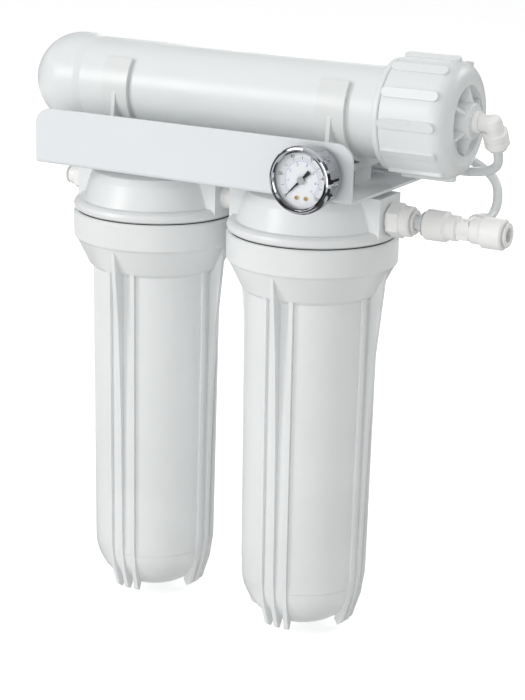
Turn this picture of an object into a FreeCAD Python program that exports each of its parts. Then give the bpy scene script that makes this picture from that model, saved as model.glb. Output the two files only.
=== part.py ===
"""Wall-hung reverse osmosis unit for ponds and aquariums: a parametric FreeCAD document.

Two ten inch filter housings hang under a folded bracket. A membrane housing lies on top in two
clips, fed through a union tee and a hose, with a pressure gauge on the front lip.
Millimetres, +Z up, +Y towards the wall. The origin is on the wall face of the back plate, midway
between the two wall slots.
"""
import FreeCAD, Part
import math
import os

import Sketcher

V = FreeCAD.Vector
DOC = FreeCAD.newDocument("reverse_osmosis_unit")
SHEET = DOC.addObject("Spreadsheet::Sheet", "sheet")
NODES = {}


class Size:
    """A number that also carries the spreadsheet formula it comes from."""

    def __init__(self, value, text):
        self.value = value
        self.text = text

    def __add__(self, other):
        return join(self, "+", other, self.value + number(other))

    def __radd__(self, other):
        return join(other, "+", self, number(other) + self.value)

    def __sub__(self, other):
        return join(self, "-", other, self.value - number(other))

    def __rsub__(self, other):
        return join(other, "-", self, number(other) - self.value)

    def __mul__(self, other):
        return join(self, "*", other, self.value * number(other))

    def __rmul__(self, other):
        return join(other, "*", self, number(other) * self.value)

    def __truediv__(self, other):
        return join(self, "/", other, self.value / number(other))

    def __neg__(self):
        return Size(-self.value, f"(0 - {self.text})")


def number(item):
    """The plain value of a Size or a number."""
    return item.value if isinstance(item, Size) else float(item)


def formula(item):
    """The formula of a Size or a number."""
    return item.text if isinstance(item, Size) else f"{float(item):.6f}"


def join(left, sign, right, value):
    """A Size made from two others with one arithmetic sign."""
    return Size(value, f"({formula(left)} {sign} {formula(right)})")


class Sizes:
    """The driving dimensions, each one a cell of the spreadsheet with an alias."""

    def __init__(self):
        self.row = 0

    def group(self, title, **cells):
        """Add a titled block of cells."""
        self.row += 1
        SHEET.set(f"A{self.row}", title)
        for alias, value in cells.items():
            self.row += 1
            SHEET.set(f"A{self.row}", alias.replace("_", " "))
            SHEET.set(f"B{self.row}", str(value))
            SHEET.setAlias(f"B{self.row}", alias)
            setattr(self, alias, Size(float(value), f"sheet.{alias}"))


D = Sizes()
D.group("Clearances", running_gap=0.06, thread_gap=0.05, seal_gap=0.05, shell_gap=0.4)
D.group("Bracket", bracket_width=246, bracket_depth=130.5, sheet_thickness=2, lip_height=38.5,
        back_height=66, lip_corner=12, bend_radius=3, slot_rise=50, slot_spacing=150,
        slot_length=18, slot_width=7)
D.group("Filter housings", housing_pitch=126.3, axis_depth=68, head_height=35.5,
        collar_radius=59, collar_height=20.4, seam_gap=0.5, rim_height=7.6, dome_radius=51.5,
        dome_top_radius=47.5, cone_height=18, cone_radius=48.5, body_radius=45.5,
        body_foot_radius=43.5, sump_depth=284, sump_wall=3.6, bottom_round=36)
D.group("Housing thread", thread_radius=48.6, thread_depth=1.4, thread_pitch=5.5,
        skirt_height=19, skirt_wall=4.6)
D.group("Ports", port_height=15.5, port_reach=57.5, boss_half_width=15.3, boss_top=31,
        boss_foot=3, port_radius=8.2, port_depth=13, flow_radius=5.5, column_radius=17,
        chamber_radius=38, chamber_top=24, spigot_depth=20.8, spigot_radius=19, knife_radius=17)
D.group("Sump ribs", rib_width=3.2, rib_stand=2.4, rib_step=12, rib_start_stand=11,
        rib_foot_radius=36, rib_foot_drop=6.5)
D.group("Cartridges", cartridge_radius=31.5, cartridge_length=248, cartridge_bore=13.5,
        cartridge_cap=8, gasket_thickness=3)
D.group("Membrane housing", tube_ahead=1.7, tube_rise=86.1, tube_radius=31.3, tube_bore=25.8,
        dome_end_radius=33, dome_centre=-127, tube_end=149, cap_start=121, cap_end=172.5,
        flange_thickness=4.5, flange_radius=37.3, cap_radius=38.6, hub_radius=12,
        hub_reach=177.5, grip_stand=1.5, grip_width=6.6, dish_depth=6, dish_radius=21.5)
D.group("Membrane element", element_radius=22.9, element_start=-128, element_end=126,
        core_radius=8.4, core_start=-151, core_end=146, core_bore=5.2)
D.group("Clips", clip_left=-78.3, clip_right=89.6, clip_width=20.6, clip_thickness=3.2,
        clip_opening=40, foot_half=12, bar_half=37, bar_thickness=5, gusset_thickness=3)
D.group("Screws", screw_radius=2, screw_head_radius=3.9, screw_head_height=2.8,
        head_screw_x=10, head_screw_y=22, head_screw_length=11, clip_screw_x=5.5,
        nut_height=3.2, nut_flats=7)
D.group("Quarter inch push fittings", tube_small=3.175, sleeve_small=4.9, rim_small=6.3,
        shell_small=7, hex_gap=1.8, elbow_shell=8.25, elbow_reach=17.5, tee_reach=20)
D.group("Three eighth inch push fittings", tube_large=4.76, sleeve_large=6.5, rim_large=8.2,
        shell_large=10.3, waist_large=6.8, union_reach=27.8, union_ahead=54.95)
D.group("Push fitting insides", mouth_depth=11, stop_depth=15, collet_travel=1.5,
        collet_rim=1, collet_sleeve=8.6)
D.group("Connectors", hex_length=8.8, connector_reach=17.6, inlet_reach=15.5, inlet_hex=6)
D.group("Elbow thread", stub_radius=4.9, stub_length=9)
D.group("Elbow tilt", elbow_turn=30, elbow_neck=12.5)
D.group("Gauge", gauge_x=98.1, gauge_rise=52.6, case_radius=20.3, case_depth=17.5,
        bezel_radius=21.9, bezel_depth=6.5, gauge_standoff=3.5, dial_radius=19, lens_thickness=1.6,
        pointer_length=13.5, arbor_radius=0.9, stem_radius=4.8, stem_length=15,
        dial_screw_x=3.3, dial_screw_drop=11.6)
D.group("Gauge branch", branch_x=40, branch_depth=16, branch_rise=93)
D.group("Outlet ports", permeate_x=-145, concentrate_x=-131, concentrate_drop=18,
        outlet_reach=35.5, passage_radius=2.4)
DOC.recompute()

SEAM_Z = -D.slot_rise - D.head_height
AXIS_Y = -D.axis_depth
TUBE_Y = AXIS_Y + D.tube_ahead
TUBE_Z = SEAM_Z + D.tube_rise
SHELF_TOP = D.sheet_thickness - D.slot_rise
HALF_PITCH = D.housing_pitch / 2
LIP_FACE = -D.bracket_depth
PORT_Z = SEAM_Z + D.port_height
UNION_X = HALF_PITCH + D.port_reach + D.union_ahead

UPRIGHT = FreeCAD.Rotation()
ALONG_X = FreeCAD.Rotation(V(0, 1, 0), 90)
ALONG_MINUS_X = FreeCAD.Rotation(V(0, 1, 0), -90)
ALONG_Y = FreeCAD.Rotation(V(1, 0, 0), -90)
ALONG_MINUS_Y = FreeCAD.Rotation(V(1, 0, 0), 90)
DOWNWARD = FreeCAD.Rotation(V(1, 0, 0), 180)
WALL_ELBOW = FreeCAD.Rotation(V(0, 1, 0), V(0, 0, 1), V(1, 0, 0), "XYZ")


# ------------------------------------------------------------------ drawing helpers

def bind(item, **properties):
    """Bind properties of an object to formulas; a double underscore stands for a dot."""
    for name, size in properties.items():
        item.setExpression(name.replace("__", "."), formula(size))


def place(item, x=0, y=0, z=0, turn=UPRIGHT):
    """Put an object at a bound position with a fixed turn."""
    item.Placement = FreeCAD.Placement(V(number(x), number(y), number(z)), turn)
    bind(item, Placement__Base__x=x, Placement__Base__y=y, Placement__Base__z=z)
    return item


def keep(item):
    """Count an object as a node of the part."""
    NODES[item.Label] = item
    return item


def body(label, alone=True):
    """A new PartDesign body with its own label, a node of its own unless it joins a group."""
    item = DOC.addObject("PartDesign::Body", label)
    item.Label = label
    return keep(item) if alone else item


def sketch(owner, role="XZ_Plane", name="outline", offset=None, turn=None):
    """A sketch on one of a body's own origin planes, moved along its normal if asked."""
    item = owner.newObject("Sketcher::SketchObject", name)
    plane = [p for p in owner.Origin.OriginFeatures if p.Role == role][0]
    item.AttachmentSupport = [(plane, "")]
    item.MapMode = "FlatFace"
    if turn is not None:
        item.AttachmentOffset = FreeCAD.Placement(V(), FreeCAD.Rotation(V(0, 1, 0), number(turn)))
        item.setExpression("AttachmentOffset.Rotation.Angle", formula(turn))
    if offset is not None:
        item.setExpression("AttachmentOffset.Base.z", formula(offset))
    return item


def fix(item, geometry, point, x, y):
    """Hold one point of a sketch at bound coordinates."""
    for kind, size in (("DistanceX", x), ("DistanceY", y)):
        index = item.addConstraint(Sketcher.Constraint(kind, geometry, point, number(size)))
        if isinstance(size, Size):
            item.setExpression(f"Constraints[{index}]", size.text)


def outline(item, points):
    """Draw a closed outline of straight lines through bound points."""
    corners = [V(number(x), number(y), 0) for x, y in points]
    first = item.GeometryCount
    for here, there in zip(corners, corners[1:] + corners[:1]):
        item.addGeometry(Part.LineSegment(here, there))
    count = len(corners)
    for k in range(count):
        after = first + (k + 1) % count
        item.addConstraint(Sketcher.Constraint("Coincident", first + k, 2, after, 1))
    for k, (x, y) in enumerate(points):
        fix(item, first + k, 1, x, y)
    return item


def circle(item, x, y, radius):
    """Draw a circle with a bound centre and radius."""
    index = item.addGeometry(Part.Circle(V(number(x), number(y), 0), V(0, 0, 1), number(radius)))
    fix(item, index, 3, x, y)
    bound = item.addConstraint(Sketcher.Constraint("Radius", index, number(radius)))
    if isinstance(radius, Size):
        item.setExpression(f"Constraints[{bound}]", radius.text)
    return item


def spin(owner, points, axis="V_Axis", role="XZ_Plane", cut=False):
    """Turn an outline round an axis of its sketch, to add or to cut."""
    shape = outline(sketch(owner, role), points)
    kind = "PartDesign::Groove" if cut else "PartDesign::Revolution"
    item = owner.newObject(kind, "groove" if cut else "turned")
    item.Profile = shape
    item.ReferenceAxis = (shape, [axis])
    item.Angle = 360
    shape.Visibility = False
    return item


def push(owner, shape, length, cut=False, symmetric=True, reverse=False):
    """Pad or pocket a sketch over a bound length."""
    item = owner.newObject("PartDesign::Pocket" if cut else "PartDesign::Pad",
                           "pocket" if cut else "pad")
    item.Profile = shape
    item.Midplane = symmetric
    item.Reversed = reverse
    bind(item, Length=length)
    return item


def ring_edges(feature, radius, height):
    """Names of the circular edges of a feature with this radius at this height."""
    names = []
    for k, edge in enumerate(feature.Shape.Edges, 1):
        curve = edge.Curve
        if not isinstance(curve, Part.Circle):
            continue
        if abs(curve.Radius - number(radius)) < 0.02 and abs(curve.Center.z - number(height)) < 0.02:
            names.append(f"Edge{k}")
    return names


def soften(owner, base, edges, radius, label="round"):
    """Round the named edges of the last feature of a body."""
    item = owner.newObject("PartDesign::Fillet", label)
    item.Base = (base, edges)
    bind(item, Radius=radius)
    DOC.recompute()
    return item


def soften_rings(owner, base, rings, radius):
    """Round the circular edges given as pairs of radius and height."""
    DOC.recompute()
    edges = []
    for ring_radius, height in rings:
        edges += ring_edges(base, ring_radius, height)
    return soften(owner, base, edges, radius)


def turned(label, points, turn=UPRIGHT, alone=True, **at):
    """A whole sub-part that is one turned outline of radius and height."""
    item = body(label, alone)
    spin(item, points)
    return place(item, turn=turn, **at)


def pattern_round(owner, features, count, axis_role="Z_Axis"):
    """Repeat features evenly round an axis of the body."""
    item = owner.newObject("PartDesign::PolarPattern", "repeat")
    item.Originals = features
    axis = [a for a in owner.Origin.OriginFeatures if a.Role == axis_role][0]
    item.Axis = (axis, [""])
    item.Angle = 360
    item.Occurrences = count
    owner.Tip = item
    return item


def tube_outline(outer, inner, low, high):
    """The outline of a plain tube wall."""
    return [(inner, low), (outer, low), (outer, high), (inner, high)]


def cylinder(name, radius, length, turn=UPRIGHT, x=0, y=0, z=0):
    """A Part cylinder with bound size and place, used inside groups."""
    item = DOC.addObject("Part::Cylinder", name)
    item.Label = name
    bind(item, Radius=radius, Height=length)
    return place(item, x, y, z, turn)


def hexagon(name, flats, length, turn=UPRIGHT, x=0, y=0, z=0):
    """A Part prism with six sides of a bound width across flats."""
    item = DOC.addObject("Part::Prism", name)
    item.Label = name
    item.Polygon = 6
    bind(item, Circumradius=flats / math.sqrt(3), Height=length)
    return place(item, x, y, z, turn)


def fuse(name, items):
    """Join Part objects into one solid."""
    item = DOC.addObject("Part::MultiFuse", name)
    item.Label = name
    item.Shapes = items
    return item


def cut(name, base, tool):
    """Cut one Part object with another."""
    item = DOC.addObject("Part::Cut", name)
    item.Label = name
    item.Base = base
    item.Tool = tool
    return item


def group(label, items):
    """One node that holds several separate solids."""
    item = DOC.addObject("Part::Compound", label)
    item.Label = label
    item.Links = items
    return keep(item)


def ring(label, centre_radius, section, turn=UPRIGHT, **at):
    """An O-ring as a torus."""
    item = DOC.addObject("Part::Torus", label)
    item.Label = label
    bind(item, Radius1=centre_radius, Radius2=section)
    return place(item, turn=turn, **at)


# ------------------------------------------------------------------ bracket and its screws

def bracket():
    """Folded sheet with a back plate, a shelf and a front lip that stands up."""
    item = body("bracket")
    under = -D.slot_rise
    wall = D.sheet_thickness
    lip_top = under + D.lip_height
    back_top = under + D.back_height
    points = [(0, back_top), (0, under), (LIP_FACE, under), (LIP_FACE, lip_top),
              (LIP_FACE + wall, lip_top), (LIP_FACE + wall, under + wall),
              (-wall, under + wall), (-wall, back_top)]
    folded = push(item, outline(sketch(item, "YZ_Plane"), points), D.bracket_width)
    DOC.recompute()
    outside = long_edges(folded, [(0, under), (LIP_FACE, under)])
    rounded = soften(item, folded, outside, D.bend_radius, "outer_bends")
    inside = long_edges(rounded, [(-wall, under + wall), (LIP_FACE + wall, under + wall)])
    rounded = soften(item, rounded, inside, D.bend_radius - D.sheet_thickness + 0.3, "inner_bends")
    corners = corner_edges(rounded, [lip_top, back_top])
    rounded = soften(item, rounded, corners, D.lip_corner, "corners")
    bracket_holes(item)
    return item


def long_edges(feature, spots):
    """Edges that run along X through the given (y, z) spots."""
    names = []
    for k, edge in enumerate(feature.Shape.Edges, 1):
        box = edge.BoundBox
        if box.XLength < 100:
            continue
        for y, z in spots:
            if abs(box.Center.y - number(y)) < 0.05 and abs(box.Center.z - number(z)) < 0.05:
                names.append(f"Edge{k}")
    return names


def corner_edges(feature, tops):
    """Short edges across the sheet at the upper corners of its two upright walls."""
    names = []
    for k, edge in enumerate(feature.Shape.Edges, 1):
        box = edge.BoundBox
        across = abs(box.YLength - number(D.sheet_thickness)) < 0.05 and box.XLength < 0.05
        if across and any(abs(box.Center.z - number(top)) < 0.05 for top in tops):
            names.append(f"Edge{k}")
    return names


def bracket_holes(item):
    """Holes for the head screws, the clip screws, the gauge stem and the wall fixings."""
    shelf = sketch(item, "XY_Plane", "shelf_holes", offset=SHELF_TOP + 1)
    for side in (-1, 1):
        for sx in (-1, 1):
            for sy in (-1, 1):
                circle(shelf, side * HALF_PITCH + sx * D.head_screw_x,
                       AXIS_Y + sy * D.head_screw_y, D.screw_radius + 0.3)
    for clip in (D.clip_left, D.clip_right):
        for sx in (-1, 1):
            circle(shelf, clip + sx * D.clip_screw_x, TUBE_Y, D.screw_radius + 0.3)
    push(item, shelf, D.sheet_thickness + 3, cut=True, symmetric=False)
    front = sketch(item, "XZ_Plane", "gauge_hole", offset=D.bracket_depth + 1)
    circle(front, D.gauge_x, SEAM_Z + D.gauge_rise, D.stem_radius + 0.4)
    push(item, front, D.sheet_thickness + 3, cut=True, symmetric=False)
    back = sketch(item, "XZ_Plane", "wall_slots", offset=D.sheet_thickness + 1)
    for side in (-1, 1):
        slot(back, side * D.slot_spacing / 2, 0, D.slot_length, D.slot_width)
    push(item, back, D.sheet_thickness + 3, cut=True, symmetric=False)


def slot(item, centre, middle, length, width, upright=False):
    """Draw a slot with round ends, lying along the sketch's first or second axis."""
    reach = (length - width) / 2
    radius = width / 2

    def spot(along, across):
        if upright:
            return centre - across, middle + along
        return centre + along, middle + across

    def point(along, across):
        x, y = spot(along, across)
        return V(number(x), number(y), 0)

    start = math.pi if upright else math.pi / 2
    top = item.addGeometry(Part.LineSegment(point(-reach, radius), point(reach, radius)))
    low = item.addGeometry(Part.LineSegment(point(reach, -radius), point(-reach, -radius)))
    far = item.addGeometry(Part.ArcOfCircle(
        Part.Circle(point(reach, 0), V(0, 0, 1), number(radius)), start - math.pi, start))
    near = item.addGeometry(Part.ArcOfCircle(
        Part.Circle(point(-reach, 0), V(0, 0, 1), number(radius)), start, start + math.pi))
    for first, end, second, other in ((top, 2, far, 2), (low, 1, far, 1), (top, 1, near, 1),
                                      (low, 2, near, 2)):
        item.addConstraint(Sketcher.Constraint("Coincident", first, end, second, other))
    fix(item, top, 1, *spot(-reach, radius))
    fix(item, top, 2, *spot(reach, radius))
    fix(item, low, 1, *spot(reach, -radius))
    fix(item, low, 2, *spot(-reach, -radius))
    for arc, end in ((far, reach), (near, -reach)):
        along = spot(end, 0)[1 if upright else 0]
        kind = "DistanceY" if upright else "DistanceX"
        index = item.addConstraint(Sketcher.Constraint(kind, arc, 3, number(along)))
        item.setExpression(f"Constraints[{index}]", formula(along))
    return item


def pan_screw(name, length, x, y, top):
    """A pan head screw pointing down, its head standing on the height top."""
    shank = cylinder(f"{name}_shank", D.screw_radius, length, x=x, y=y, z=top - length)
    head = cylinder(f"{name}_head", D.screw_head_radius, D.screw_head_height, x=x, y=y, z=top)
    recess = hexagon(f"{name}_recess", D.screw_radius * 1.5, D.screw_head_height,
                     x=x, y=y, z=top + D.screw_head_height * 0.4)
    return cut(name, fuse(f"{name}_whole", [shank, head]), recess)


def head_screws(side, sign):
    """Four screws that hold one filter head under the shelf."""
    screws = []
    for sx in (-1, 1):
        for sy in (-1, 1):
            screws.append(pan_screw(f"head_screw_{side}_{len(screws) + 1}", D.head_screw_length,
                                    sign * HALF_PITCH + sx * D.head_screw_x,
                                    AXIS_Y + sy * D.head_screw_y, SHELF_TOP))
    return group(f"head_screws_{side}", screws)


# ------------------------------------------------------------------ filter housings

def filter_head(side, sign):
    """Head with a conical dome, a round rim, two port bosses and an external thread."""
    item = body(f"filter_head_{side}")
    rim = D.collar_radius
    root = D.thread_radius - D.thread_depth
    shell = [(0, D.boss_top), (D.dome_top_radius - 9, D.boss_top),
             (D.dome_top_radius - 2.5, D.boss_top - 3), (D.dome_top_radius, D.boss_top - 8),
             (D.dome_radius, D.rim_height + 2.4), (D.dome_radius + 0.8, D.rim_height),
             (rim - 3, D.rim_height), (rim - 0.8, D.rim_height - 1.6), (rim, D.rim_height / 2),
             (rim - 0.8, 1.4), (rim - 3, 0), (root, 0), (root, -D.skirt_height), (0, -D.skirt_height)]
    spin(item, shell)
    bosses = outline(sketch(item, "XZ_Plane", "bosses"), [
        (-D.port_reach, D.boss_foot), (D.port_reach, D.boss_foot),
        (D.port_reach, D.boss_top), (-D.port_reach, D.boss_top)])
    push(item, bosses, D.boss_half_width * 2)
    plateau = circle(sketch(item, "XY_Plane", "plateau", offset=D.boss_top - 1), 0, 0,
                     D.head_screw_y + 6)
    push(item, plateau, D.head_height - D.boss_top + 1, symmetric=False)
    nut_channel = outline(sketch(item, "XZ_Plane", "nut_channel"), [
        (-D.port_reach, D.boss_top + 0.2), (D.port_reach, D.boss_top + 0.2),
        (D.port_reach, D.head_height + 1), (-D.port_reach, D.head_height + 1)])
    push(item, nut_channel, D.nut_flats * 2, cut=True)
    head_insides(item)
    head_thread(item)
    return place(item, x=sign * HALF_PITCH, y=AXIS_Y, z=SEAM_Z)


def head_insides(item):
    """Ring chamber, spigot, outlet bridge, ports and screw holes of a filter head."""
    bore = D.thread_radius - D.thread_depth - D.skirt_wall
    spin(item, [(D.spigot_radius, -D.skirt_height - 1), (bore, -D.skirt_height - 1), (bore, 0),
                (D.chamber_radius, D.boss_foot), (D.chamber_radius, D.chamber_top),
                (D.column_radius, D.chamber_top), (D.column_radius, 0), (D.spigot_radius, -3)],
         cut=True)
    step = -D.spigot_depth + 3
    spin(item, [(0, step), (D.knife_radius - 2, step), (D.knife_radius, -D.spigot_depth),
                (D.spigot_radius, step), (D.spigot_radius, -D.skirt_height + 1),
                (0, -D.skirt_height + 1)])
    bridge = outline(sketch(item, "XZ_Plane", "bridge"), [
        (D.column_radius - 4, D.boss_foot + 1), (D.chamber_radius + 3, D.boss_foot + 1),
        (D.chamber_radius + 3, D.chamber_top + 1), (D.column_radius - 4, D.chamber_top + 1)])
    push(item, bridge, D.port_radius * 2 + 4)
    rise = D.port_height
    face = D.port_reach + 1
    seat = D.port_radius + D.thread_gap
    bore_x(item, seat, -D.port_reach + D.port_depth, -face, rise)
    bore_x(item, D.flow_radius, 6 - D.chamber_radius, -face, rise)
    bore_x(item, seat, D.port_reach - D.port_depth, face, rise)
    bore_x(item, D.flow_radius, 0, face, rise)
    spin(item, [(0, -D.spigot_depth - 1), (D.flow_radius + 1, -D.spigot_depth - 1),
                (D.flow_radius + 1, rise), (0, rise)], cut=True)
    holes = sketch(item, "XY_Plane", "screw_holes", offset=D.head_height)
    for sx in (-1, 1):
        for sy in (-1, 1):
            circle(holes, sx * D.head_screw_x, sy * D.head_screw_y, D.screw_radius + D.thread_gap)
    push(item, holes, D.head_screw_length - D.sheet_thickness + 1, cut=True, symmetric=False)


def bore_x(item, radius, inner, outer, rise):
    """A round bore along X between two places, cut inwards from the outer one."""
    rightward = number(outer) > number(inner)
    low, high = (inner, outer) if rightward else (outer, inner)
    mouth = circle(sketch(item, "YZ_Plane", "bore", offset=high), 0, rise, radius)
    return push(item, mouth, high - low, cut=True, symmetric=False)


def head_thread(item):
    """The external thread on the skirt, as one helical ridge."""
    root = D.thread_radius - D.thread_depth
    low = -D.skirt_height + 1.2
    ridge = outline(sketch(item, "XZ_Plane", "ridge"), [
        (root - 0.3, low), (root - 0.3, low + 2.8), (D.thread_radius, low + 2),
        (D.thread_radius, low + 0.8)])
    helix = item.newObject("PartDesign::AdditiveHelix", "thread")
    helix.Profile = ridge
    helix.ReferenceAxis = (ridge, ["V_Axis"])
    helix.Mode = "pitch-height-angle"
    bind(helix, Pitch=D.thread_pitch, Height=D.skirt_height - 5.5)
    return helix


def sump(side, sign):
    """Threaded collar, cone, ribbed body with a slight draft and a rounded bottom."""
    item = body(f"sump_{side}")
    rim = D.collar_radius
    top = -D.seam_gap
    collar = -D.collar_height
    cone = collar - D.cone_height
    shell = [(0, -D.sump_depth), (D.body_foot_radius, -D.sump_depth), (D.body_radius, cone - 2.5),
             (D.cone_radius, cone), (rim - 1.6, collar), (rim - 0.7, collar + 0.7),
             (rim, collar + 1.8), (rim, top - 1.2), (rim - 1.2, top), (0, top)]
    solid = spin(item, shell)
    soften_rings(item, solid, [(D.body_foot_radius, -D.sump_depth)], D.bottom_round)
    bore = D.thread_radius + D.thread_gap + 0.3
    floor = -D.sump_depth + D.sump_wall
    low_step = -D.skirt_height - D.collar_height * 0.25
    hollow = [(0, floor)] + bottom_arc(D.bottom_round - D.sump_wall) + [
        (D.body_radius - D.sump_wall, cone - 4), (D.body_radius - D.sump_wall, low_step - 8),
        (bore, low_step), (bore, 0), (0, 0)]
    spin(item, hollow, cut=True)
    pattern_round(item, sump_ribs(item, collar, cone), 4)
    groove = bore + 3.4
    spin(item, [(groove, top - 3.1), (groove + 3.9, top - 3.1), (groove + 3.9, 0), (groove, 0)],
         cut=True)
    seat = cartridge_span()[0] - D.seal_gap
    post = D.cartridge_bore - 2 - D.shell_gap
    spin(item, [(post - 2.5, floor - 1), (D.knife_radius + 2, floor - 1), (D.knife_radius, seat),
                (D.knife_radius - 2, floor + 1.5), (post, floor + 1.5), (post, seat + 6),
                (post - 2.5, seat + 6)])
    return place(item, x=sign * HALF_PITCH, y=AXIS_Y, z=SEAM_Z)


def bottom_arc(radius):
    """Points on a quarter turn about the centre of the sump's rounded bottom edge."""
    centre = D.body_foot_radius - D.bottom_round
    height = -D.sump_depth + D.bottom_round
    steps = 10
    turns = [math.pi / 2 * k / steps for k in range(steps + 1)]
    return [(centre + radius * round(math.sin(a), 6), height - radius * round(math.cos(a), 6))
            for a in turns]


def sump_ribs(item, collar, cone):
    """Three ribs side by side, the middle one starting high on the collar's foot."""
    half_wall = D.sump_wall / 2
    inside = [(D.rib_foot_radius + 4.4, -D.sump_depth + 27),
              (D.body_foot_radius - half_wall, -D.sump_depth + 40),
              (D.body_radius - half_wall, cone)]
    low = -D.sump_depth
    foot = D.body_foot_radius + D.rib_stand
    tail = [(foot, low + D.bottom_round + 4), (foot - 2.6, low + 22), (foot - 7, low + 8),
            (D.rib_foot_radius + 2, low + 8 - D.rib_foot_drop + 3),
            (D.rib_foot_radius - 1, low + 7 - D.rib_foot_drop + 2),
            (D.rib_foot_radius - 4, low + 10 - D.rib_foot_drop + 3),
            (D.rib_foot_radius - 2.4, low + 14)]
    middle = inside + [(D.thread_radius + 3, collar + 1),
                       (D.body_radius + D.rib_start_stand, collar + 1),
                       (D.body_radius + D.rib_start_stand, collar - 3),
                       (D.body_radius + D.rib_stand + 3, collar - 60),
                       (D.body_radius + D.rib_stand, collar - 120)] + tail
    beside = inside + [(D.cone_radius, cone + 3), (D.body_radius + D.rib_stand + 1, cone + 5),
                       (D.body_radius + D.rib_stand, cone - 4)] + tail
    ribs = [push(item, outline(sketch(item, "XZ_Plane", "middle_rib"), middle), D.rib_width)]
    for sign in (-1, 1):
        side = sketch(item, "XZ_Plane", "side_rib", turn=sign * D.rib_step)
        ribs.append(push(item, outline(side, beside), D.rib_width))
    return ribs


def sump_seal(side, sign):
    """O-ring in the groove on top of the sump collar."""
    section = 1.75
    centre = D.thread_radius + D.thread_gap + 0.3 + 3.4 + 1.95
    return keep(ring(f"sump_o_ring_{side}", centre, Size(section, "1.75"), x=sign * HALF_PITCH,
                     y=AXIS_Y, z=SEAM_Z - section - D.seal_gap))


def cartridge_span():
    """Lower and upper end of both cartridges, measured from the seam."""
    top = -D.spigot_depth - D.seal_gap
    return top - D.cartridge_length, top


def sediment_cartridge(sign):
    """Melt-blown sediment cartridge with soft ends and a stiff core."""
    low, high = cartridge_span()
    wound = turned("sediment_cartridge",
                   tube_outline(D.cartridge_radius, D.cartridge_bore + 1.7, low, high),
                   x=sign * HALF_PITCH, y=AXIS_Y, z=SEAM_Z)
    turned("sediment_core",
           tube_outline(D.cartridge_bore + 1.7, D.cartridge_bore, low + 1, high - 1),
           x=sign * HALF_PITCH, y=AXIS_Y, z=SEAM_Z)
    return wound


def carbon_cartridge(sign):
    """Carbon block with a cap and a flat gasket at each end."""
    low, high = cartridge_span()
    at = {"x": sign * HALF_PITCH, "y": AXIS_Y, "z": SEAM_Z}
    gasket = D.gasket_thickness
    skirt = D.cartridge_radius - 1.6
    turned("carbon_block", tube_outline(skirt, D.cartridge_bore + 1,
                                        low + gasket + 3, high - gasket - 3), **at)
    for name, face, way in (("carbon_cap_bottom", low + gasket, 1),
                            ("carbon_cap_top", high - gasket, -1)):
        turned(name, [(D.cartridge_bore - 2, face), (D.cartridge_radius, face),
                      (D.cartridge_radius, face + way * D.cartridge_cap),
                      (skirt, face + way * D.cartridge_cap), (skirt, face + way * 3),
                      (D.cartridge_bore - 2, face + way * 3)], **at)
    group("carbon_gaskets", [
        turned(f"carbon_gasket_{end}", tube_outline(D.cartridge_radius - 10, D.cartridge_bore - 2,
                                                    face, face + gasket), alone=False, **at)
        for end, face in (("bottom", low), ("top", high - gasket))])


# ------------------------------------------------------------------ push fittings

def collet(label, turn, x, y, z, large=False, alone=True):
    """Release collet of a push fitting: its mouth at the origin, pointing along +Z."""
    tube = D.tube_large if large else D.tube_small
    sleeve = D.sleeve_large if large else D.sleeve_small
    rim = D.rim_large if large else D.rim_small
    out = D.collet_travel + D.collet_rim
    points = [(tube + 0.06, -D.collet_sleeve), (sleeve, -D.collet_sleeve),
              (sleeve, D.collet_travel), (rim, D.collet_travel), (rim, out - 0.5),
              (rim - 0.5, out), (tube + 0.5, out), (tube + 0.06, out - 0.5)]
    return turned(label, points, turn, alone, x=x, y=y, z=z)


def socket_cut(mouth, way, large=False):
    """Inside outline of a push socket: sleeve bore, seal seat and tube stop."""
    tube = D.tube_large if large else D.tube_small
    sleeve = (D.sleeve_large if large else D.sleeve_small) + D.running_gap
    seat = mouth - way * D.mouth_depth
    stop = mouth - way * D.stop_depth
    return [(0, mouth + way * 1), (sleeve, mouth + way * 1), (sleeve, seat),
            (tube + 0.08, seat), (tube + 0.08, stop), (tube - 1, stop), (0, stop)]


def swap(points):
    """Turn an outline of (radius, place) into one of (place, radius)."""
    return [(place_along, radius) for radius, place_along in points]


def connector(label, sign, start, hex_length, half_flats, reach, large):
    """Male connector: thread stub, hexagon and push socket, along X from a port face."""
    shell = D.shell_large if large else D.shell_small
    turn = ALONG_X if sign > 0 else ALONG_MINUS_X
    item = body(label)
    stub = D.port_radius
    waist = D.sleeve_large if large else D.sleeve_small
    spin(item, [(0, -D.port_depth + 1), (stub - 0.6, -D.port_depth + 1), (stub, -D.port_depth + 2),
                (stub, D.hex_gap), (shell, D.hex_gap), (shell, reach - 1), (shell - 1, reach),
                (0, reach)])
    flats = outline_hexagon(sketch(item, "XY_Plane", "hexagon", offset=D.hex_gap), half_flats)
    push(item, flats, hex_length, symmetric=False)
    spin(item, socket_cut(reach, 1, large), cut=True)
    spin(item, [(0, -D.port_depth), (waist - 2.2, -D.port_depth),
                (waist - 2.2, reach - D.stop_depth + 1), (0, reach - D.stop_depth + 1)], cut=True)
    return place(item, start, AXIS_Y, PORT_Z, turn)


def outline_hexagon(item, half_flats):
    """Draw a hexagon with flats facing the sketch's Y axis."""
    corner = half_flats * (2 / math.sqrt(3))
    points = []
    for k in range(6):
        angle = math.radians(60 * k)
        points.append((corner * round(math.cos(angle), 6), corner * round(math.sin(angle), 6)))
    return outline(item, points)


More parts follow.
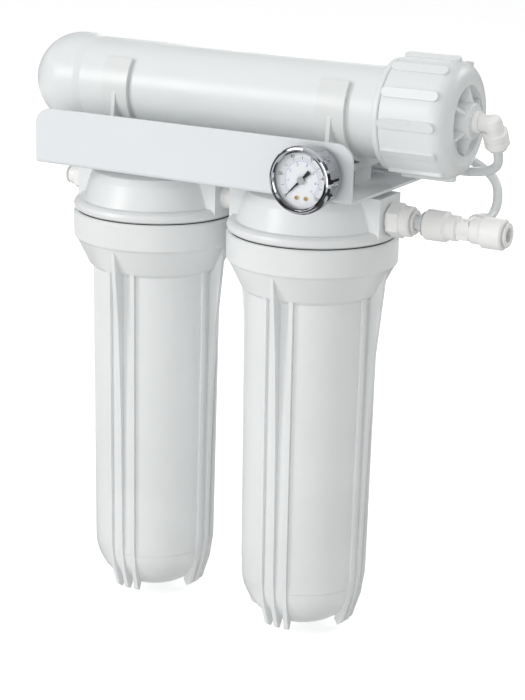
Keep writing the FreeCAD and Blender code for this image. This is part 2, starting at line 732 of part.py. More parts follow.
def interstage_nipple():
    """Nipple that joins the outlet of the left head to the inlet of the right one."""
    reach = HALF_PITCH - D.port_reach
    deep = reach + D.port_depth - 1
    stub = D.port_radius
    points = [(D.flow_radius, -deep), (stub, -deep), (stub, -reach), (stub + 0.6, -reach),
              (stub + 0.6, reach), (stub, reach), (stub, deep), (D.flow_radius, deep)]
    return turned("interstage_nipple", points, ALONG_X, x=0, y=AXIS_Y, z=PORT_Z)


def union_tee():
    """Union tee with chamfered collars, stepped necks and a waist with flats."""
    item = body("outlet_tee")
    reach = D.union_reach
    shell = D.shell_large
    right = [(reach, 0), (reach, shell - 1), (reach - 1, shell), (reach - 14.5, shell),
             (reach - 16.5, shell - 1.8), (reach - 22.5, shell - 1.8),
             (reach - 23.5, D.waist_large)]
    left = [(-x, r) for x, r in reversed(right)]
    spin(item, right + left, axis="H_Axis", role="XY_Plane")
    small = D.shell_small
    branch = D.branch_depth + 9.6
    spin(item, [(0, 0), (D.waist_large - 1, 0), (D.waist_large - 1, branch - 9),
                (small, branch - 8), (small, branch - 0.8), (small - 0.8, branch), (0, branch)],
         role="XY_Plane")
    flat = D.waist_large - 0.6
    waist = outline(sketch(item, "YZ_Plane", "waist"), [
        (-flat, -flat), (flat, -flat), (flat, flat), (-flat, flat)])
    push(item, waist, D.waist_large + 1.4)
    for way in (-1, 1):
        spin(item, swap(socket_cut(way * reach, way, True)), axis="H_Axis", role="XY_Plane", cut=True)
    spin(item, socket_cut(branch, 1), role="XY_Plane", cut=True)
    spin(item, swap(tube_outline(D.tube_small, 0, -reach + D.stop_depth - 1,
                                 reach - D.stop_depth + 1)), axis="H_Axis", role="XY_Plane", cut=True)
    spin(item, tube_outline(D.tube_small - 1, 0, 0, branch - D.stop_depth + 1),
         role="XY_Plane", cut=True)
    return place(item, UNION_X, AXIS_Y, PORT_Z)


def elbow(label, turn, x, y, z, male=True):
    """Push elbow: its neck points along local -X and its socket along local -Z."""
    item = body(label)
    shell = D.elbow_shell
    reach = D.elbow_reach
    neck = D.elbow_neck
    deep = D.stub_length if male else 0
    stub = D.stub_radius if male else 0
    points = [(-neck - deep, 0), (-neck - deep, stub), (-neck, stub), (-neck, shell - 1.2),
              (-neck + 4, shell - 1.2), (-neck + 4, shell - 2.6), (0, shell - 2.6), (0, 0)]
    if not male:
        points = points[3:]
        points.insert(0, (-neck, 0))
    spin(item, points, axis="H_Axis")
    spin(item, [(0, 0), (0, shell - 2.2), (4, shell - 3.4), (shell - 3.2, 4), (shell - 2.2, 0)])
    spin(item, [(0, 0), (shell - 2.2, 0), (shell - 2.2, -reach + 12), (shell, -reach + 11),
                (shell, -reach + 6.6), (shell - 0.7, -reach + 6), (shell, -reach + 5.4),
                (shell, -reach + 1), (shell - 1, -reach), (0, -reach)])
    spin(item, socket_cut(-reach, -1), cut=True)
    inner = 2.2
    spin(item, tube_outline(inner, 0, -reach + D.stop_depth - 1, inner), cut=True)
    if male:
        spin(item, swap(tube_outline(inner, 0, -neck - deep - 1, inner)), axis="H_Axis", cut=True)
    else:
        spin(item, swap(tube_outline(inner, 0, -neck - 1, inner)), axis="H_Axis", cut=True)
        spin(item, swap(tube_outline(D.stem_radius + D.thread_gap, 0, -neck - 1, -3)),
             axis="H_Axis", cut=True)
    return place(item, x, y, z, turn)


def gauge_tee():
    """Small tee behind the membrane housing, its branch pointing down."""
    item = body("gauge_tee")
    reach = D.tee_reach
    shell = D.shell_small
    end = [(reach, 0), (reach, shell - 0.8), (reach - 0.8, shell), (reach - 11, shell),
           (reach - 11, shell - 1.6)]
    spin(item, end + [(-x, r) for x, r in reversed(end)], axis="H_Axis")
    spin(item, [(0, 0), (shell - 1.6, 0), (shell - 1.6, -reach + 11), (shell, -reach + 11),
                (shell, -reach + 0.8), (shell - 0.8, -reach), (0, -reach)])
    for way in (-1, 1):
        spin(item, swap(socket_cut(way * reach, way)), axis="H_Axis", cut=True)
    spin(item, socket_cut(-reach, -1), cut=True)
    spin(item, swap(tube_outline(D.tube_small - 1, 0, -reach + D.stop_depth - 1,
                                 reach - D.stop_depth + 1)), axis="H_Axis", cut=True)
    spin(item, tube_outline(D.tube_small - 1, 0, -reach + D.stop_depth - 1, 0), cut=True)
    return place(item, D.branch_x, -D.branch_depth, SEAM_Z + D.branch_rise)


# ------------------------------------------------------------------ membrane housing

def membrane_tube():
    """Tube with a domed closed end, an inner socket for the core and two rear outlet ports."""
    item = body("membrane_tube")
    outer = D.tube_radius
    dome = D.dome_end_radius
    centre = D.dome_centre
    pole = centre - dome
    floor = D.core_start - 2.5
    solid = spin(item, [(0, pole), (dome, pole), (dome, centre + 6), (dome - 0.5, centre + 12),
                        (outer, centre + 17), (outer, D.cap_start), (outer - 0.5, D.cap_start + 1),
                        (outer - 0.5, D.tube_end), (0, D.tube_end)])
    soften_rings(item, solid, [(dome, pole)], dome - 0.5)
    ports = ((0, D.permeate_x), (D.concentrate_drop, D.concentrate_x))
    for drop, along in ports:
        boss = circle(sketch(item, "XZ_Plane", "outlet_boss"), drop, along, D.elbow_shell - 0.4)
        push(item, boss, D.outlet_reach, symmetric=False, reverse=True)
    socket = D.core_radius + D.running_gap
    spin(item, [(0, floor), (socket, floor), (socket, floor + 15), (D.tube_bore, floor + 15),
                (D.tube_bore, D.tube_end + 1), (0, D.tube_end + 1)], cut=True)
    for drop, along in ports:
        for radius, depth in ((D.stub_radius + D.thread_gap, D.stub_length + 1),
                              (D.passage_radius, D.outlet_reach - 2)):
            mouth = sketch(item, "XZ_Plane", "outlet_bore", offset=-D.outlet_reach - 1)
            push(item, circle(mouth, drop, along, radius), depth + 1, cut=True,
                 symmetric=False, reverse=True)
    return place(item, 0, TUBE_Y, TUBE_Z, ALONG_X)


def membrane_cap():
    """Screw cap with a flange, twelve raised grips and a dished, gusseted end round a hub."""
    item = body("membrane_cap")
    start = D.cap_start
    lip = start + D.flange_thickness
    outer = D.cap_radius
    end = D.cap_end
    dish = end - D.dish_depth
    bore = D.tube_radius + D.thread_gap
    solid = spin(item, [(0, start), (D.flange_radius - 0.8, start), (D.flange_radius, start + 0.8),
                        (D.flange_radius, lip - 0.8), (D.flange_radius - 0.8, lip), (outer - 4, lip),
                        (outer - 4, lip + 1), (outer - 0.6, lip + 1), (outer, lip + 1.6),
                        (outer, end), (0, end)])
    soften_rings(item, solid, [(outer, end)], D.cap_radius - 26.6)
    spin(item, [(D.hub_radius - 1, dish), (D.dish_radius - 2, dish), (D.dish_radius, dish + 1.5),
                (D.dish_radius + 1.5, end), (D.hub_radius - 1, end)], cut=True)
    spin(item, [(0, dish - 1), (D.hub_radius, dish - 1), (D.hub_radius, D.hub_reach - 0.8),
                (D.hub_radius - 0.8, D.hub_reach), (0, D.hub_reach)])
    gusset = outline(sketch(item, "XZ_Plane", "gusset"), [
        (D.hub_radius - 2, dish - 1), (D.dish_radius, dish - 1), (D.dish_radius + 0.5, end - 1),
        (D.dish_radius - 1.5, end - 0.2), (D.hub_radius - 0.5, D.hub_reach - 2),
        (D.hub_radius - 2, D.hub_reach - 2)])
    pattern_round(item, [push(item, gusset, D.gusset_thickness - 0.6)], 6)
    grip = sketch(item, "YZ_Plane", "grip", offset=outer - 1.5, turn=15)
    slot(grip, Size(0, "0"), (lip + end) / 2 - 2.8, end - lip - 7.5, D.grip_width, upright=True)
    pattern_round(item, [push(item, grip, D.grip_stand + 1.5, symmetric=False)], 12)
    seat = D.tube_end + 0.4
    spin(item, [(0, start - 1), (bore, start - 1), (bore, start + 1.2), (bore - 0.5, start + 1.2),
                (bore - 0.5, seat), (D.tube_bore + 4.1, seat), (D.tube_bore + 4.1, seat + 2.5),
                (D.tube_bore + 0.9, seat + 2.5), (D.tube_bore + 0.9, seat), (D.tube_bore - 3, seat),
                (D.tube_bore - 3, seat + 5), (0, seat + 5)], cut=True)
    spin(item, [(0, seat), (D.passage_radius, seat), (D.passage_radius, D.hub_reach - 12),
                (D.stub_radius + D.thread_gap, D.hub_reach - 12),
                (D.stub_radius + D.thread_gap, D.hub_reach + 1), (0, D.hub_reach + 1)], cut=True)
    return place(item, 0, TUBE_Y, TUBE_Z, ALONG_X)


def membrane_insides():
    """Membrane element, its core tube, brine seal and the O-rings that seal core and cap."""
    at = {"x": 0, "y": TUBE_Y, "z": TUBE_Z, "turn": ALONG_X}
    start = D.element_start
    end = D.element_end
    seal = end - 9
    core = D.core_radius
    turned("membrane_element", [(core + 0.02, start), (D.element_radius, start),
                                (D.element_radius, seal), (D.element_radius - 1, seal),
                                (D.element_radius - 1, end), (core + 0.02, end)], **at)
    groove = D.core_start + 5
    turned("membrane_core", [(D.core_bore, D.core_start), (core, D.core_start), (core, groove),
                             (core - 1.6, groove), (core - 1.6, groove + 2.2), (core, groove + 2.2),
                             (core, D.core_end), (D.core_bore - 2, D.core_end),
                             (0, D.core_end), (0, D.core_end - 3), (D.core_bore, D.core_end - 3)],
           **at)
    wall = D.tube_bore - D.seal_gap
    turned("brine_seal", [(D.element_radius - 1, seal), (D.element_radius + 1, seal), (wall, end + 1),
                          (wall - 1.2, end + 1), (D.element_radius + 1, seal + 4),
                          (D.element_radius - 0.2, end), (D.element_radius - 1, end)], **at)
    group("membrane_o_rings", [
        ring("core_o_ring", core - 0.7, Size(0.75, "0.75"), turn=ALONG_X,
             x=groove + 1.1, y=TUBE_Y, z=TUBE_Z),
        ring("cap_o_ring", D.tube_bore + 2.5, Size(1.4, "1.4"), turn=ALONG_X,
             x=D.tube_end + 1.45, y=TUBE_Y, z=TUBE_Z)])


def cosine(size):
    """The cosine of an angle in degrees."""
    return Size(math.cos(math.radians(number(size))), f"cos({formula(size)} * 1deg)")


def sine(size):
    """The sine of an angle in degrees."""
    return Size(math.sin(math.radians(number(size))), f"sin({formula(size)} * 1deg)")


def clip(side, along):
    """C-shaped snap clip on a bar and a foot, with a gusset up each side."""
    item = body(f"clip_{side}")
    inner = D.tube_radius + D.running_gap
    outer = inner + D.clip_thickness
    hoop = sketch(item, "YZ_Plane", "hoop")
    circle(hoop, 0, 0, outer)
    circle(hoop, 0, 0, inner)
    push(item, hoop, D.clip_width)
    far = outer * 1.8
    across = far * cosine(D.clip_opening)
    up = far * sine(D.clip_opening)
    mouth = outline(sketch(item, "YZ_Plane", "mouth"),
                    [(0, 0), (across, up), (across, far), (-across, far), (-across, up)])
    push(item, mouth, D.clip_width + 2, cut=True)
    bar_top = 0.6 - outer
    bar_low = bar_top - D.bar_thickness
    foot = SHELF_TOP - TUBE_Z
    block = outline(sketch(item, "YZ_Plane", "bar"), [
        (-D.bar_half, bar_low), (D.bar_half, bar_low), (D.bar_half, bar_top), (-D.bar_half, bar_top)])
    push(item, block, D.clip_width)
    block = outline(sketch(item, "YZ_Plane", "foot"), [
        (-D.foot_half, foot), (D.foot_half, foot), (D.foot_half, bar_top), (-D.foot_half, bar_top)])
    push(item, block, D.clip_width - 2)
    for sign in (-1, 1):
        edge = sign * (outer + 2)
        hug = [((outer - 0.5) * (sign * math.cos(math.radians(a))),
                (outer - 0.5) * math.sin(math.radians(a))) for a in (-62, -45, -25, -5, 14)]
        web = [(sign * (D.bar_half - 9), bar_top - 1), (edge, bar_top - 1), (edge, -19),
               (sign * (outer + 0.2), -2)]
        push(item, outline(sketch(item, "YZ_Plane", "gusset"), web + hug[::-1]), D.gusset_thickness)
    clip_holes(item, inner)
    return place(item, along, TUBE_Y, TUBE_Z)


def clip_holes(item, inner):
    """Counterbored holes for the two clip screws."""
    seat = D.screw_head_height + 2.3
    for radius, depth in ((D.screw_radius + D.thread_gap, 30), (D.screw_head_radius + 0.2, seat)):
        holes = sketch(item, "XY_Plane", "clip_holes", offset=2 - inner)
        for sx in (-1, 1):
            circle(holes, sx * D.clip_screw_x, 0, radius)
        push(item, holes, depth, cut=True, symmetric=False)


def clip_fixings():
    """Screws and nuts that hold both clips on the shelf."""
    seat = TUBE_Z - D.tube_radius - D.running_gap - D.screw_head_height - 0.3
    under = -D.slot_rise
    length = seat - under + D.nut_height
    screws = []
    nuts = []
    for along in (D.clip_left, D.clip_right):
        for sx in (-1, 1):
            x = along + sx * D.clip_screw_x
            name = len(screws) + 1
            screws.append(pan_screw(f"clip_screw_{name}", length, x, TUBE_Y, seat))
            nut = hexagon(f"clip_nut_{name}_body", D.nut_flats, D.nut_height, x=x, y=TUBE_Y,
                          z=under - D.nut_height)
            bore = cylinder(f"clip_nut_{name}_bore", D.screw_radius + D.thread_gap, D.nut_height + 2,
                            x=x, y=TUBE_Y, z=under - D.nut_height - 1)
            nuts.append(cut(f"clip_nut_{name}", nut, bore))
    group("clip_screws", screws)
    group("clip_nuts", nuts)


# ------------------------------------------------------------------ pressure gauge

GAUGE = {"x": D.gauge_x, "y": LIP_FACE, "z": SEAM_Z + D.gauge_rise}
FACING = {"turn": ALONG_MINUS_Y, **GAUGE}
GAUGE_ELBOW_Y = LIP_FACE + D.stem_length + D.tube_small + 0.025


def gauge_shell():
    """Case, bezel, lens and dial, each turned round the gauge's axis, front towards +Z."""
    back = D.gauge_standoff
    case = D.case_radius
    front = back + D.case_depth
    bezel = D.bezel_radius
    face = front + 4
    rim = face - 1 - D.lens_thickness
    turned("gauge_case", [(D.stem_radius + 0.1, back), (case - 3, back), (case - 0.9, back + 0.9),
                          (case, back + 3), (case, rim), (case - 1.2, rim),
                          (case - 1.2, back + 3.4), (case - 3.4, back + 1.4),
                          (D.stem_radius + 0.1, back + 1.4)], **FACING)
    turned("gauge_bezel", [(case + 0.1, face - D.bezel_depth), (bezel - 0.6, face - D.bezel_depth),
                           (bezel, face - D.bezel_depth + 0.8), (bezel, face - 2.2),
                           (bezel - 0.4, face - 1.1), (bezel - 1.1, face - 0.3),
                           (bezel - 2, face), (bezel - 3, face - 0.1),
                           (D.dial_radius - 1.1, face - 0.6), (D.dial_radius - 1.2, face - 0.9),
                           (case + 0.1, face - 0.9)], **FACING)
    turned("gauge_lens", [(0, face - 0.95 - D.lens_thickness), (case, face - 0.95 - D.lens_thickness),
                          (case, face - 0.95), (0, face - 0.95)], **FACING)
    dial = turned("gauge_dial", tube_outline(D.dial_radius, D.arbor_radius + 0.5,
                                             front - 1.2, front - 0.6), **FACING)
    push(dial, dial_holes(dial, front, 0.95), Size(3, "3"), cut=True, symmetric=False)


def dial_holes(item, height, radius):
    """A sketch of the two dial screws' holes at a height over the lip."""
    holes = sketch(item, "XY_Plane", "dial_holes", offset=height)
    for sx in (-1, 1):
        circle(holes, sx * D.dial_screw_x, -D.dial_screw_drop, radius)
    return holes


def gauge_pointer():
    """Pointer with a flared tail, and the hub that presses it on the arbor."""
    item = body("gauge_pointer")
    front = D.gauge_standoff + D.case_depth
    shape = outline(sketch(item, "XY_Plane", "pointer", offset=front + 0.4), [
        (-D.pointer_length * 0.6, -1.5), (-2, -0.7), (2, -0.8), (D.pointer_length - 2, -0.35),
        (D.pointer_length, 0), (D.pointer_length - 2, 0.35), (2, 0.8), (-2, 0.7),
        (-D.pointer_length * 0.6, 1.5)])
    push(item, shape, Size(0.4, "0.4"), symmetric=False)
    spin(item, [(0, front + 0.1), (2.1, front + 0.1), (2.1, front + 0.9), (1.7, front + 1.2),
                (0, front + 1.2)])
    spin(item, [(0, front), (D.arbor_radius, front), (D.arbor_radius, front + 0.8),
                (0, front + 0.8)], cut=True)
    turn = ALONG_MINUS_Y.multiply(FreeCAD.Rotation(V(0, 0, 1), 225))
    return place(item, turn=turn, **GAUGE)


def gauge_insides():
    """Arbor, brass stem with its socket block, C tube, movement plate and dial screws."""
    front = D.gauge_standoff + D.case_depth
    turned("gauge_arbor", [(0, front - 8), (D.arbor_radius, front - 8),
                           (D.arbor_radius, front + 0.8), (0, front + 0.8)], **FACING)
    bore = D.stem_radius - 3
    block = D.gauge_standoff + 1.45
    turned("gauge_stem", [(bore, -D.stem_length), (D.stem_radius - 0.5, -D.stem_length),
                          (D.stem_radius, 0.5 - D.stem_length), (D.stem_radius, block),
                          (D.stem_radius + 1.6, block), (D.stem_radius + 1.6, block + 4),
                          (bore, block + 4)], **FACING)
    bourdon = DOC.addObject("Part::Torus", "gauge_c_tube_coil")
    bourdon.Label = "gauge_c_tube_coil"
    bourdon.Angle3 = 250
    bind(bourdon, Radius1=D.case_radius - 6, Radius2=Size(1.3, "1.3"))
    place(bourdon, GAUGE["x"], LIP_FACE - block - 2, GAUGE["z"],
          ALONG_MINUS_Y.multiply(FreeCAD.Rotation(V(0, 0, 1), -90)))
    feed = cylinder("gauge_c_tube_feed", Size(1.3, "1.3"), D.case_radius - 7.7 - D.stem_radius,
                    DOWNWARD, GAUGE["x"], LIP_FACE - block - 2,
                    GAUGE["z"] - D.stem_radius - 1.6 - D.seal_gap)
    keep(fuse("gauge_c_tube", [bourdon, feed]))
    movement = body("gauge_movement")
    plate = outline(sketch(movement, "XY_Plane", "plate", offset=block + 4.1), [
        (-6, -13.5), (6, -13.5), (6, 5), (-6, 5)])
    push(movement, plate, front - 1.3 - block - 4.1, symmetric=False)
    holes = dial_holes(movement, front, 0.85)
    circle(holes, 0, 0, D.arbor_radius + D.running_gap)
    push(movement, holes, Size(9, "9"), cut=True, symmetric=False)
    place(movement, turn=ALONG_MINUS_Y, **GAUGE)
    screws = []
    for sx in (-1, 1):
        x = D.gauge_x + sx * D.dial_screw_x
        z = GAUGE["z"] - D.dial_screw_drop
        head = cylinder(f"dial_screw_head_{sx + 2}", Size(1.3, "1.3"), Size(0.7, "0.7"),
                        ALONG_MINUS_Y, x, LIP_FACE - front + 0.6, z)
        shank = cylinder(f"dial_screw_shank_{sx + 2}", Size(0.8, "0.8"), Size(6, "6"),
                         ALONG_MINUS_Y, x, LIP_FACE - front + 6.6, z)
        screws.append(fuse(f"dial_screw_{sx + 2}", [head, shank]))
    group("dial_screws", screws)


def gauge_nuts():
    """Hexagon nuts that clamp the gauge stem to the lip from both sides."""
    wall = D.sheet_thickness
    nuts = []
    for name, start, length in (("front", D.gauge_standoff - 0.1, D.gauge_standoff - 0.2),
                                ("rear", -wall, Size(3.2, "3.2"))):
        low = start - length
        nut = hexagon(f"gauge_nut_{name}_body", D.stem_radius * 3.2, length, ALONG_MINUS_Y,
                      D.gauge_x, LIP_FACE - low, GAUGE["z"])
        bore = cylinder(f"gauge_nut_{name}_bore", D.stem_radius + D.thread_gap, length + 2,
                        ALONG_MINUS_Y, D.gauge_x, LIP_FACE - low + 1, GAUGE["z"])
        nuts.append(cut(f"gauge_nut_{name}", nut, bore))
    group("gauge_nuts", nuts)


# ------------------------------------------------------------------ hoses

def rounded_path(label, points):
    """A wire of straight runs joined by tangent arcs, as large as their runs allow."""
    corners = [V(*[number(c) for c in point]) for point in points]
    edges = []
    start = corners[0]
    radii = []
    for before, here, after in zip(corners, corners[1:], corners[2:]):
        back = (before - here).normalize()
        ahead = (after - here).normalize()
        half_turn = (math.pi - back.getAngle(ahead)) / 2
        setback = 0.45 * min((before - here).Length, (after - here).Length)
        radius = setback / math.tan(half_turn)
        radii.append(radius)
        first = here + back * setback
        last = here + ahead * setback
        inward = (back + ahead).normalize()
        middle = here + inward * (math.hypot(radius, setback) - radius)
        edges.append(Part.LineSegment(start, first).toShape())
        edges.append(Part.Arc(first, middle, last).toShape())
        start = last
    edges.append(Part.LineSegment(start, corners[-1]).toShape())
    print(label, "radii", [round(r, 1) for r in radii], "length",
          round(sum(edge.Length for edge in edges), 1))
    return Part.Wire(edges)


def hose(label, points, radius, bore=0):
    """A tube swept along a rounded path, checked against its section times its length."""
    path = rounded_path(label, points)
    start = path.Edges[0].Vertexes[0].Point
    ahead = path.Edges[0].tangentAt(path.Edges[0].FirstParameter)
    section = Part.Wire([Part.Circle(start, ahead, number(radius)).toShape()])
    solid = path.makePipeShell([section], True, False)
    expected = math.pi * number(radius) ** 2 * path.Length
    if abs(solid.Volume / expected - 1) > 0.01:
        raise ValueError(f"{label} has the wrong volume")
    item = DOC.addObject("Part::Feature", label)
    item.Label = label
    item.Shape = solid
    return keep(item)


def outlet_fittings():
    """Everything on the line of ports: inlet, link between heads, link tube and union tee."""
    left = -HALF_PITCH - D.port_reach
    right = HALF_PITCH + D.port_reach
    connector("inlet_connector", -1, left, D.inlet_hex, D.port_radius + 1.3, D.inlet_reach, False)
    collet("inlet_collet", ALONG_MINUS_X, left - D.inlet_reach, AXIS_Y, PORT_Z)
    interstage_nipple()
    connector("outlet_connector", 1, right, D.hex_length, D.shell_large + 0.2,
              D.connector_reach, True)
    mouth = right + D.connector_reach
    collet("outlet_collet", ALONG_X, mouth, AXIS_Y, PORT_Z, large=True)
    union_tee()
    tee_left = UNION_X - D.union_reach
    tee_right = UNION_X + D.union_reach
    collet("tee_inlet_collet", ALONG_MINUS_X, tee_left, AXIS_Y, PORT_Z, large=True)
    collet("tee_outlet_collet", ALONG_X, tee_right, AXIS_Y, PORT_Z, large=True)
    branch = AXIS_Y + D.branch_depth + 9.6
    collet("tee_branch_collet", ALONG_Y, UNION_X, branch, PORT_Z)
    turned("link_tube", tube_outline(D.tube_large, D.tube_large - 1.5, mouth - D.stop_depth,
                                     tee_left + D.stop_depth), ALONG_X, x=0, y=AXIS_Y, z=PORT_Z)


def small_fittings():
    """The elbows on the membrane housing and the gauge, and the tee between them."""
    neck = D.elbow_neck
    reach = D.elbow_reach
    tilt = FreeCAD.Rotation(V(1, 0, 0), number(D.elbow_turn))
    elbow("cap_elbow", tilt, D.hub_reach + neck, TUBE_Y, TUBE_Z)
    collet("cap_elbow_collet", tilt.multiply(DOWNWARD), D.hub_reach + neck,
           TUBE_Y + reach * sine(D.elbow_turn), TUBE_Z - reach * cosine(D.elbow_turn))
    elbow_y = TUBE_Y + D.outlet_reach + neck
    for name, along, drop in (("permeate", D.permeate_x, 0),
                              ("concentrate", D.concentrate_x, D.concentrate_drop)):
        elbow(f"{name}_elbow", WALL_ELBOW, along, elbow_y, TUBE_Z - drop)
        collet(f"{name}_collet", ALONG_MINUS_X, along - reach, elbow_y, TUBE_Z - drop)
    gauge_elbow_y = GAUGE_ELBOW_Y
    elbow("gauge_elbow", WALL_ELBOW, D.gauge_x, gauge_elbow_y, GAUGE["z"], male=False)
    collet("gauge_elbow_collet", ALONG_MINUS_X, D.gauge_x - reach, gauge_elbow_y, GAUGE["z"])
    gauge_tee()
    tee_y = -D.branch_depth
    tee_z = SEAM_Z + D.branch_rise
    group("gauge_tee_collets", [
        collet("gauge_tee_collet_1", ALONG_X, D.branch_x + D.tee_reach, tee_y, tee_z, alone=False),
        collet("gauge_tee_collet_2", ALONG_MINUS_X, D.branch_x - D.tee_reach, tee_y, tee_z,
               alone=False),
        collet("gauge_tee_collet_3", DOWNWARD, D.branch_x, tee_y, tee_z - D.tee_reach, alone=False)])


def hoses():
    """The three quarter inch hoses, each from tube stop to tube stop of its two fittings."""
    stop = D.tee_reach - D.stop_depth
    tee_y = -D.branch_depth
    tee_z = SEAM_Z + D.branch_rise
    branch = AXIS_Y + D.branch_depth + 9.6
    inward = D.elbow_reach - D.stop_depth
    elbow_x = D.hub_reach + D.elbow_neck
    lean = sine(D.elbow_turn)
    fall = cosine(D.elbow_turn)
    first_run = inward + 24.5
    hose("membrane_feed_hose", [
        (elbow_x, TUBE_Y + inward * lean, TUBE_Z - inward * fall),
        (elbow_x, TUBE_Y + first_run * lean, TUBE_Z - first_run * fall),
        (184, -42, -33), (168, -34.5, -38.5), (147, -27.5, -40.5), (116, -22, -41.5),
        (82, -18.5, -42), (D.branch_x, tee_y, -34.5), (D.branch_x, tee_y, tee_z - stop)],
         D.tube_small)
    hose("tee_link_hose", [
        (UNION_X, branch - D.stop_depth, PORT_Z), (UNION_X, branch + 10.4, PORT_Z),
        (176.5, -17, -64), (171.5, -8, -48), (157, -7.5, -38.5), (138, -7.5, -31), (117, -9, -18),
        (97, -13, -1), (D.branch_x + D.tee_reach + 10, tee_y, tee_z),
        (D.branch_x + stop, tee_y, tee_z)], D.tube_small)
    gauge_y = GAUGE_ELBOW_Y
    hose("gauge_hose", [
        (D.branch_x - stop, tee_y, tee_z), (D.branch_x - D.tee_reach - 14, tee_y, tee_z),
        (-22, -15, -5), (-48, -14.5, -24), (-82, -18, -39), (-106, -40, -43), (-112, -68, -43.2),
        (-104, -98, -43), (-78, -114, -42), (-46, -117, -41.5), (-10, -115.5, -42), (30, -114, -40),
        (D.gauge_x - D.elbow_reach - 19, gauge_y, GAUGE["z"]),
        (D.gauge_x - inward, gauge_y, GAUGE["z"])], D.tube_small)


def export():
    """Check every object and write one STEP file for each node."""
    DOC.recompute()
    for item in DOC.Objects:
        if "Invalid" in item.State or "Error" in item.State:
            raise ValueError(f"{item.Label} could not be built: {item.getStatusString()}")
    os.makedirs("parts", exist_ok=True)
    for label, item in NODES.items():
        if item.Shape.isNull() or not item.Shape.isValid():
            raise ValueError(f"{label} has no valid shape")
        item.Shape.exportStep(f"parts/{label}.step")
    print(len(NODES), "nodes written")


def main():
    """Build the whole unit."""
    bracket()
    for side, sign in (("left", -1), ("right", 1)):
        head_screws(side, sign)
        filter_head(side, sign)
        sump(side, sign)
        sump_seal(side, sign)
    sediment_cartridge(-1)
    carbon_cartridge(1)
    outlet_fittings()
    membrane_tube()
    membrane_cap()
    membrane_insides()
    for side, along in (("left", D.clip_left), ("right", D.clip_right)):
        clip(side, along)
    clip_fixings()
    small_fittings()
    gauge_shell()
    gauge_pointer()
    gauge_insides()
    gauge_nuts()
    hoses()
    export()


main()
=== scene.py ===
import logging
import math
from dataclasses import dataclass, field
from enum import Enum

import bmesh
import bpy
from mathutils import Matrix, Vector


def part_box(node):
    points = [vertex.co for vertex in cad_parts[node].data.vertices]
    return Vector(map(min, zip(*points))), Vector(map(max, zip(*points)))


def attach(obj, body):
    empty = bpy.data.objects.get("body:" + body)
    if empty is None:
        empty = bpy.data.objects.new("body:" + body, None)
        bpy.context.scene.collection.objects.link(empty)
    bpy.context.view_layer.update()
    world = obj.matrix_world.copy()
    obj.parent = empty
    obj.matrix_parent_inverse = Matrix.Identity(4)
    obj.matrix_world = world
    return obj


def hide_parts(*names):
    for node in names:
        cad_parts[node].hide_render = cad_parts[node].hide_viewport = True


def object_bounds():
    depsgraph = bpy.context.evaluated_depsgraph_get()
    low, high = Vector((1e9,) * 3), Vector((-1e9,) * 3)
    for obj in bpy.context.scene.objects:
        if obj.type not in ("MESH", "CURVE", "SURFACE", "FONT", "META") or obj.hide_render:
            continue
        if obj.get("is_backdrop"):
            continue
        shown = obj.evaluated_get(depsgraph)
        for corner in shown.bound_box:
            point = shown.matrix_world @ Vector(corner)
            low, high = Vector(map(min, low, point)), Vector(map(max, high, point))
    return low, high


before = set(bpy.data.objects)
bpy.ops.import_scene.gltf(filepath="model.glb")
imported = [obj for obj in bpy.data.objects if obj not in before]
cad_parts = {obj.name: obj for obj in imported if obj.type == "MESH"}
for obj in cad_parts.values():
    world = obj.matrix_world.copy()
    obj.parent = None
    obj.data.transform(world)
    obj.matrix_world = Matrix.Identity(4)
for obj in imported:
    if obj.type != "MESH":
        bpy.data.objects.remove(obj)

log = logging.getLogger("reverse_osmosis_unit")
MM = 0.001
WHITE = (1, 1, 1, 1)
BROAD_SCALE = 22.0
BROAD_DETAIL = 3.0
NOISE_ROUGHNESS = 0.55
DRIFT_FROM = 0.3
DRIFT_TO = 0.7
EDGE_SAMPLES = 4
EDGE_FLAT = 0.995
EDGE_TURNED = 0.85
RELIEF_STRENGTH = 0.6
COAT_ROUGHNESS = 0.12
SCATTER_TINT = (1.0, 0.95, 0.9)
SCATTER_DEPTH = 3 * MM
LEAST_ROUGHNESS = 0.02
RING_STEPS = 96
BEAD_STEPS = 8
ARC_STEPS = 128
FONT_SIZE_PER_HEIGHT = 1.35
ROOT = "root"
SUMP_BODY = {"left": "left_sump", "right": "right_sump"}
FACE_ON = Matrix.Rotation(math.radians(90), 4, "X")


def linear(code: str) -> tuple[float, float, float]:
    """Turn a six-figure colour code into linear light.

    Args:
        code: Two hexadecimal figures each for red, green and blue.

    Returns:
        The three channels from 0 to 1.
    """
    parts = [int(code[k:k + 2], 16) / 255 for k in (0, 2, 4)]
    return tuple(p / 12.92 if p <= 0.04045 else ((p + 0.055) / 1.055) ** 2.4 for p in parts)


class Grain(Enum):
    """The kinds of surface texture that a finish can have."""

    MOULDED = "fine matt skin of an injection mould"
    POWDER = "orange peel of a powder coat"
    TURNED = "fine rings left by a lathe or by polishing"
    FIBRE = "spun fibre wound round an axis"
    SPECKLE = "coarse pressed grains"
    EXTRUDED = "faint lines along a drawn tube"
    FLAT = "printed or plated surface with next to no relief"


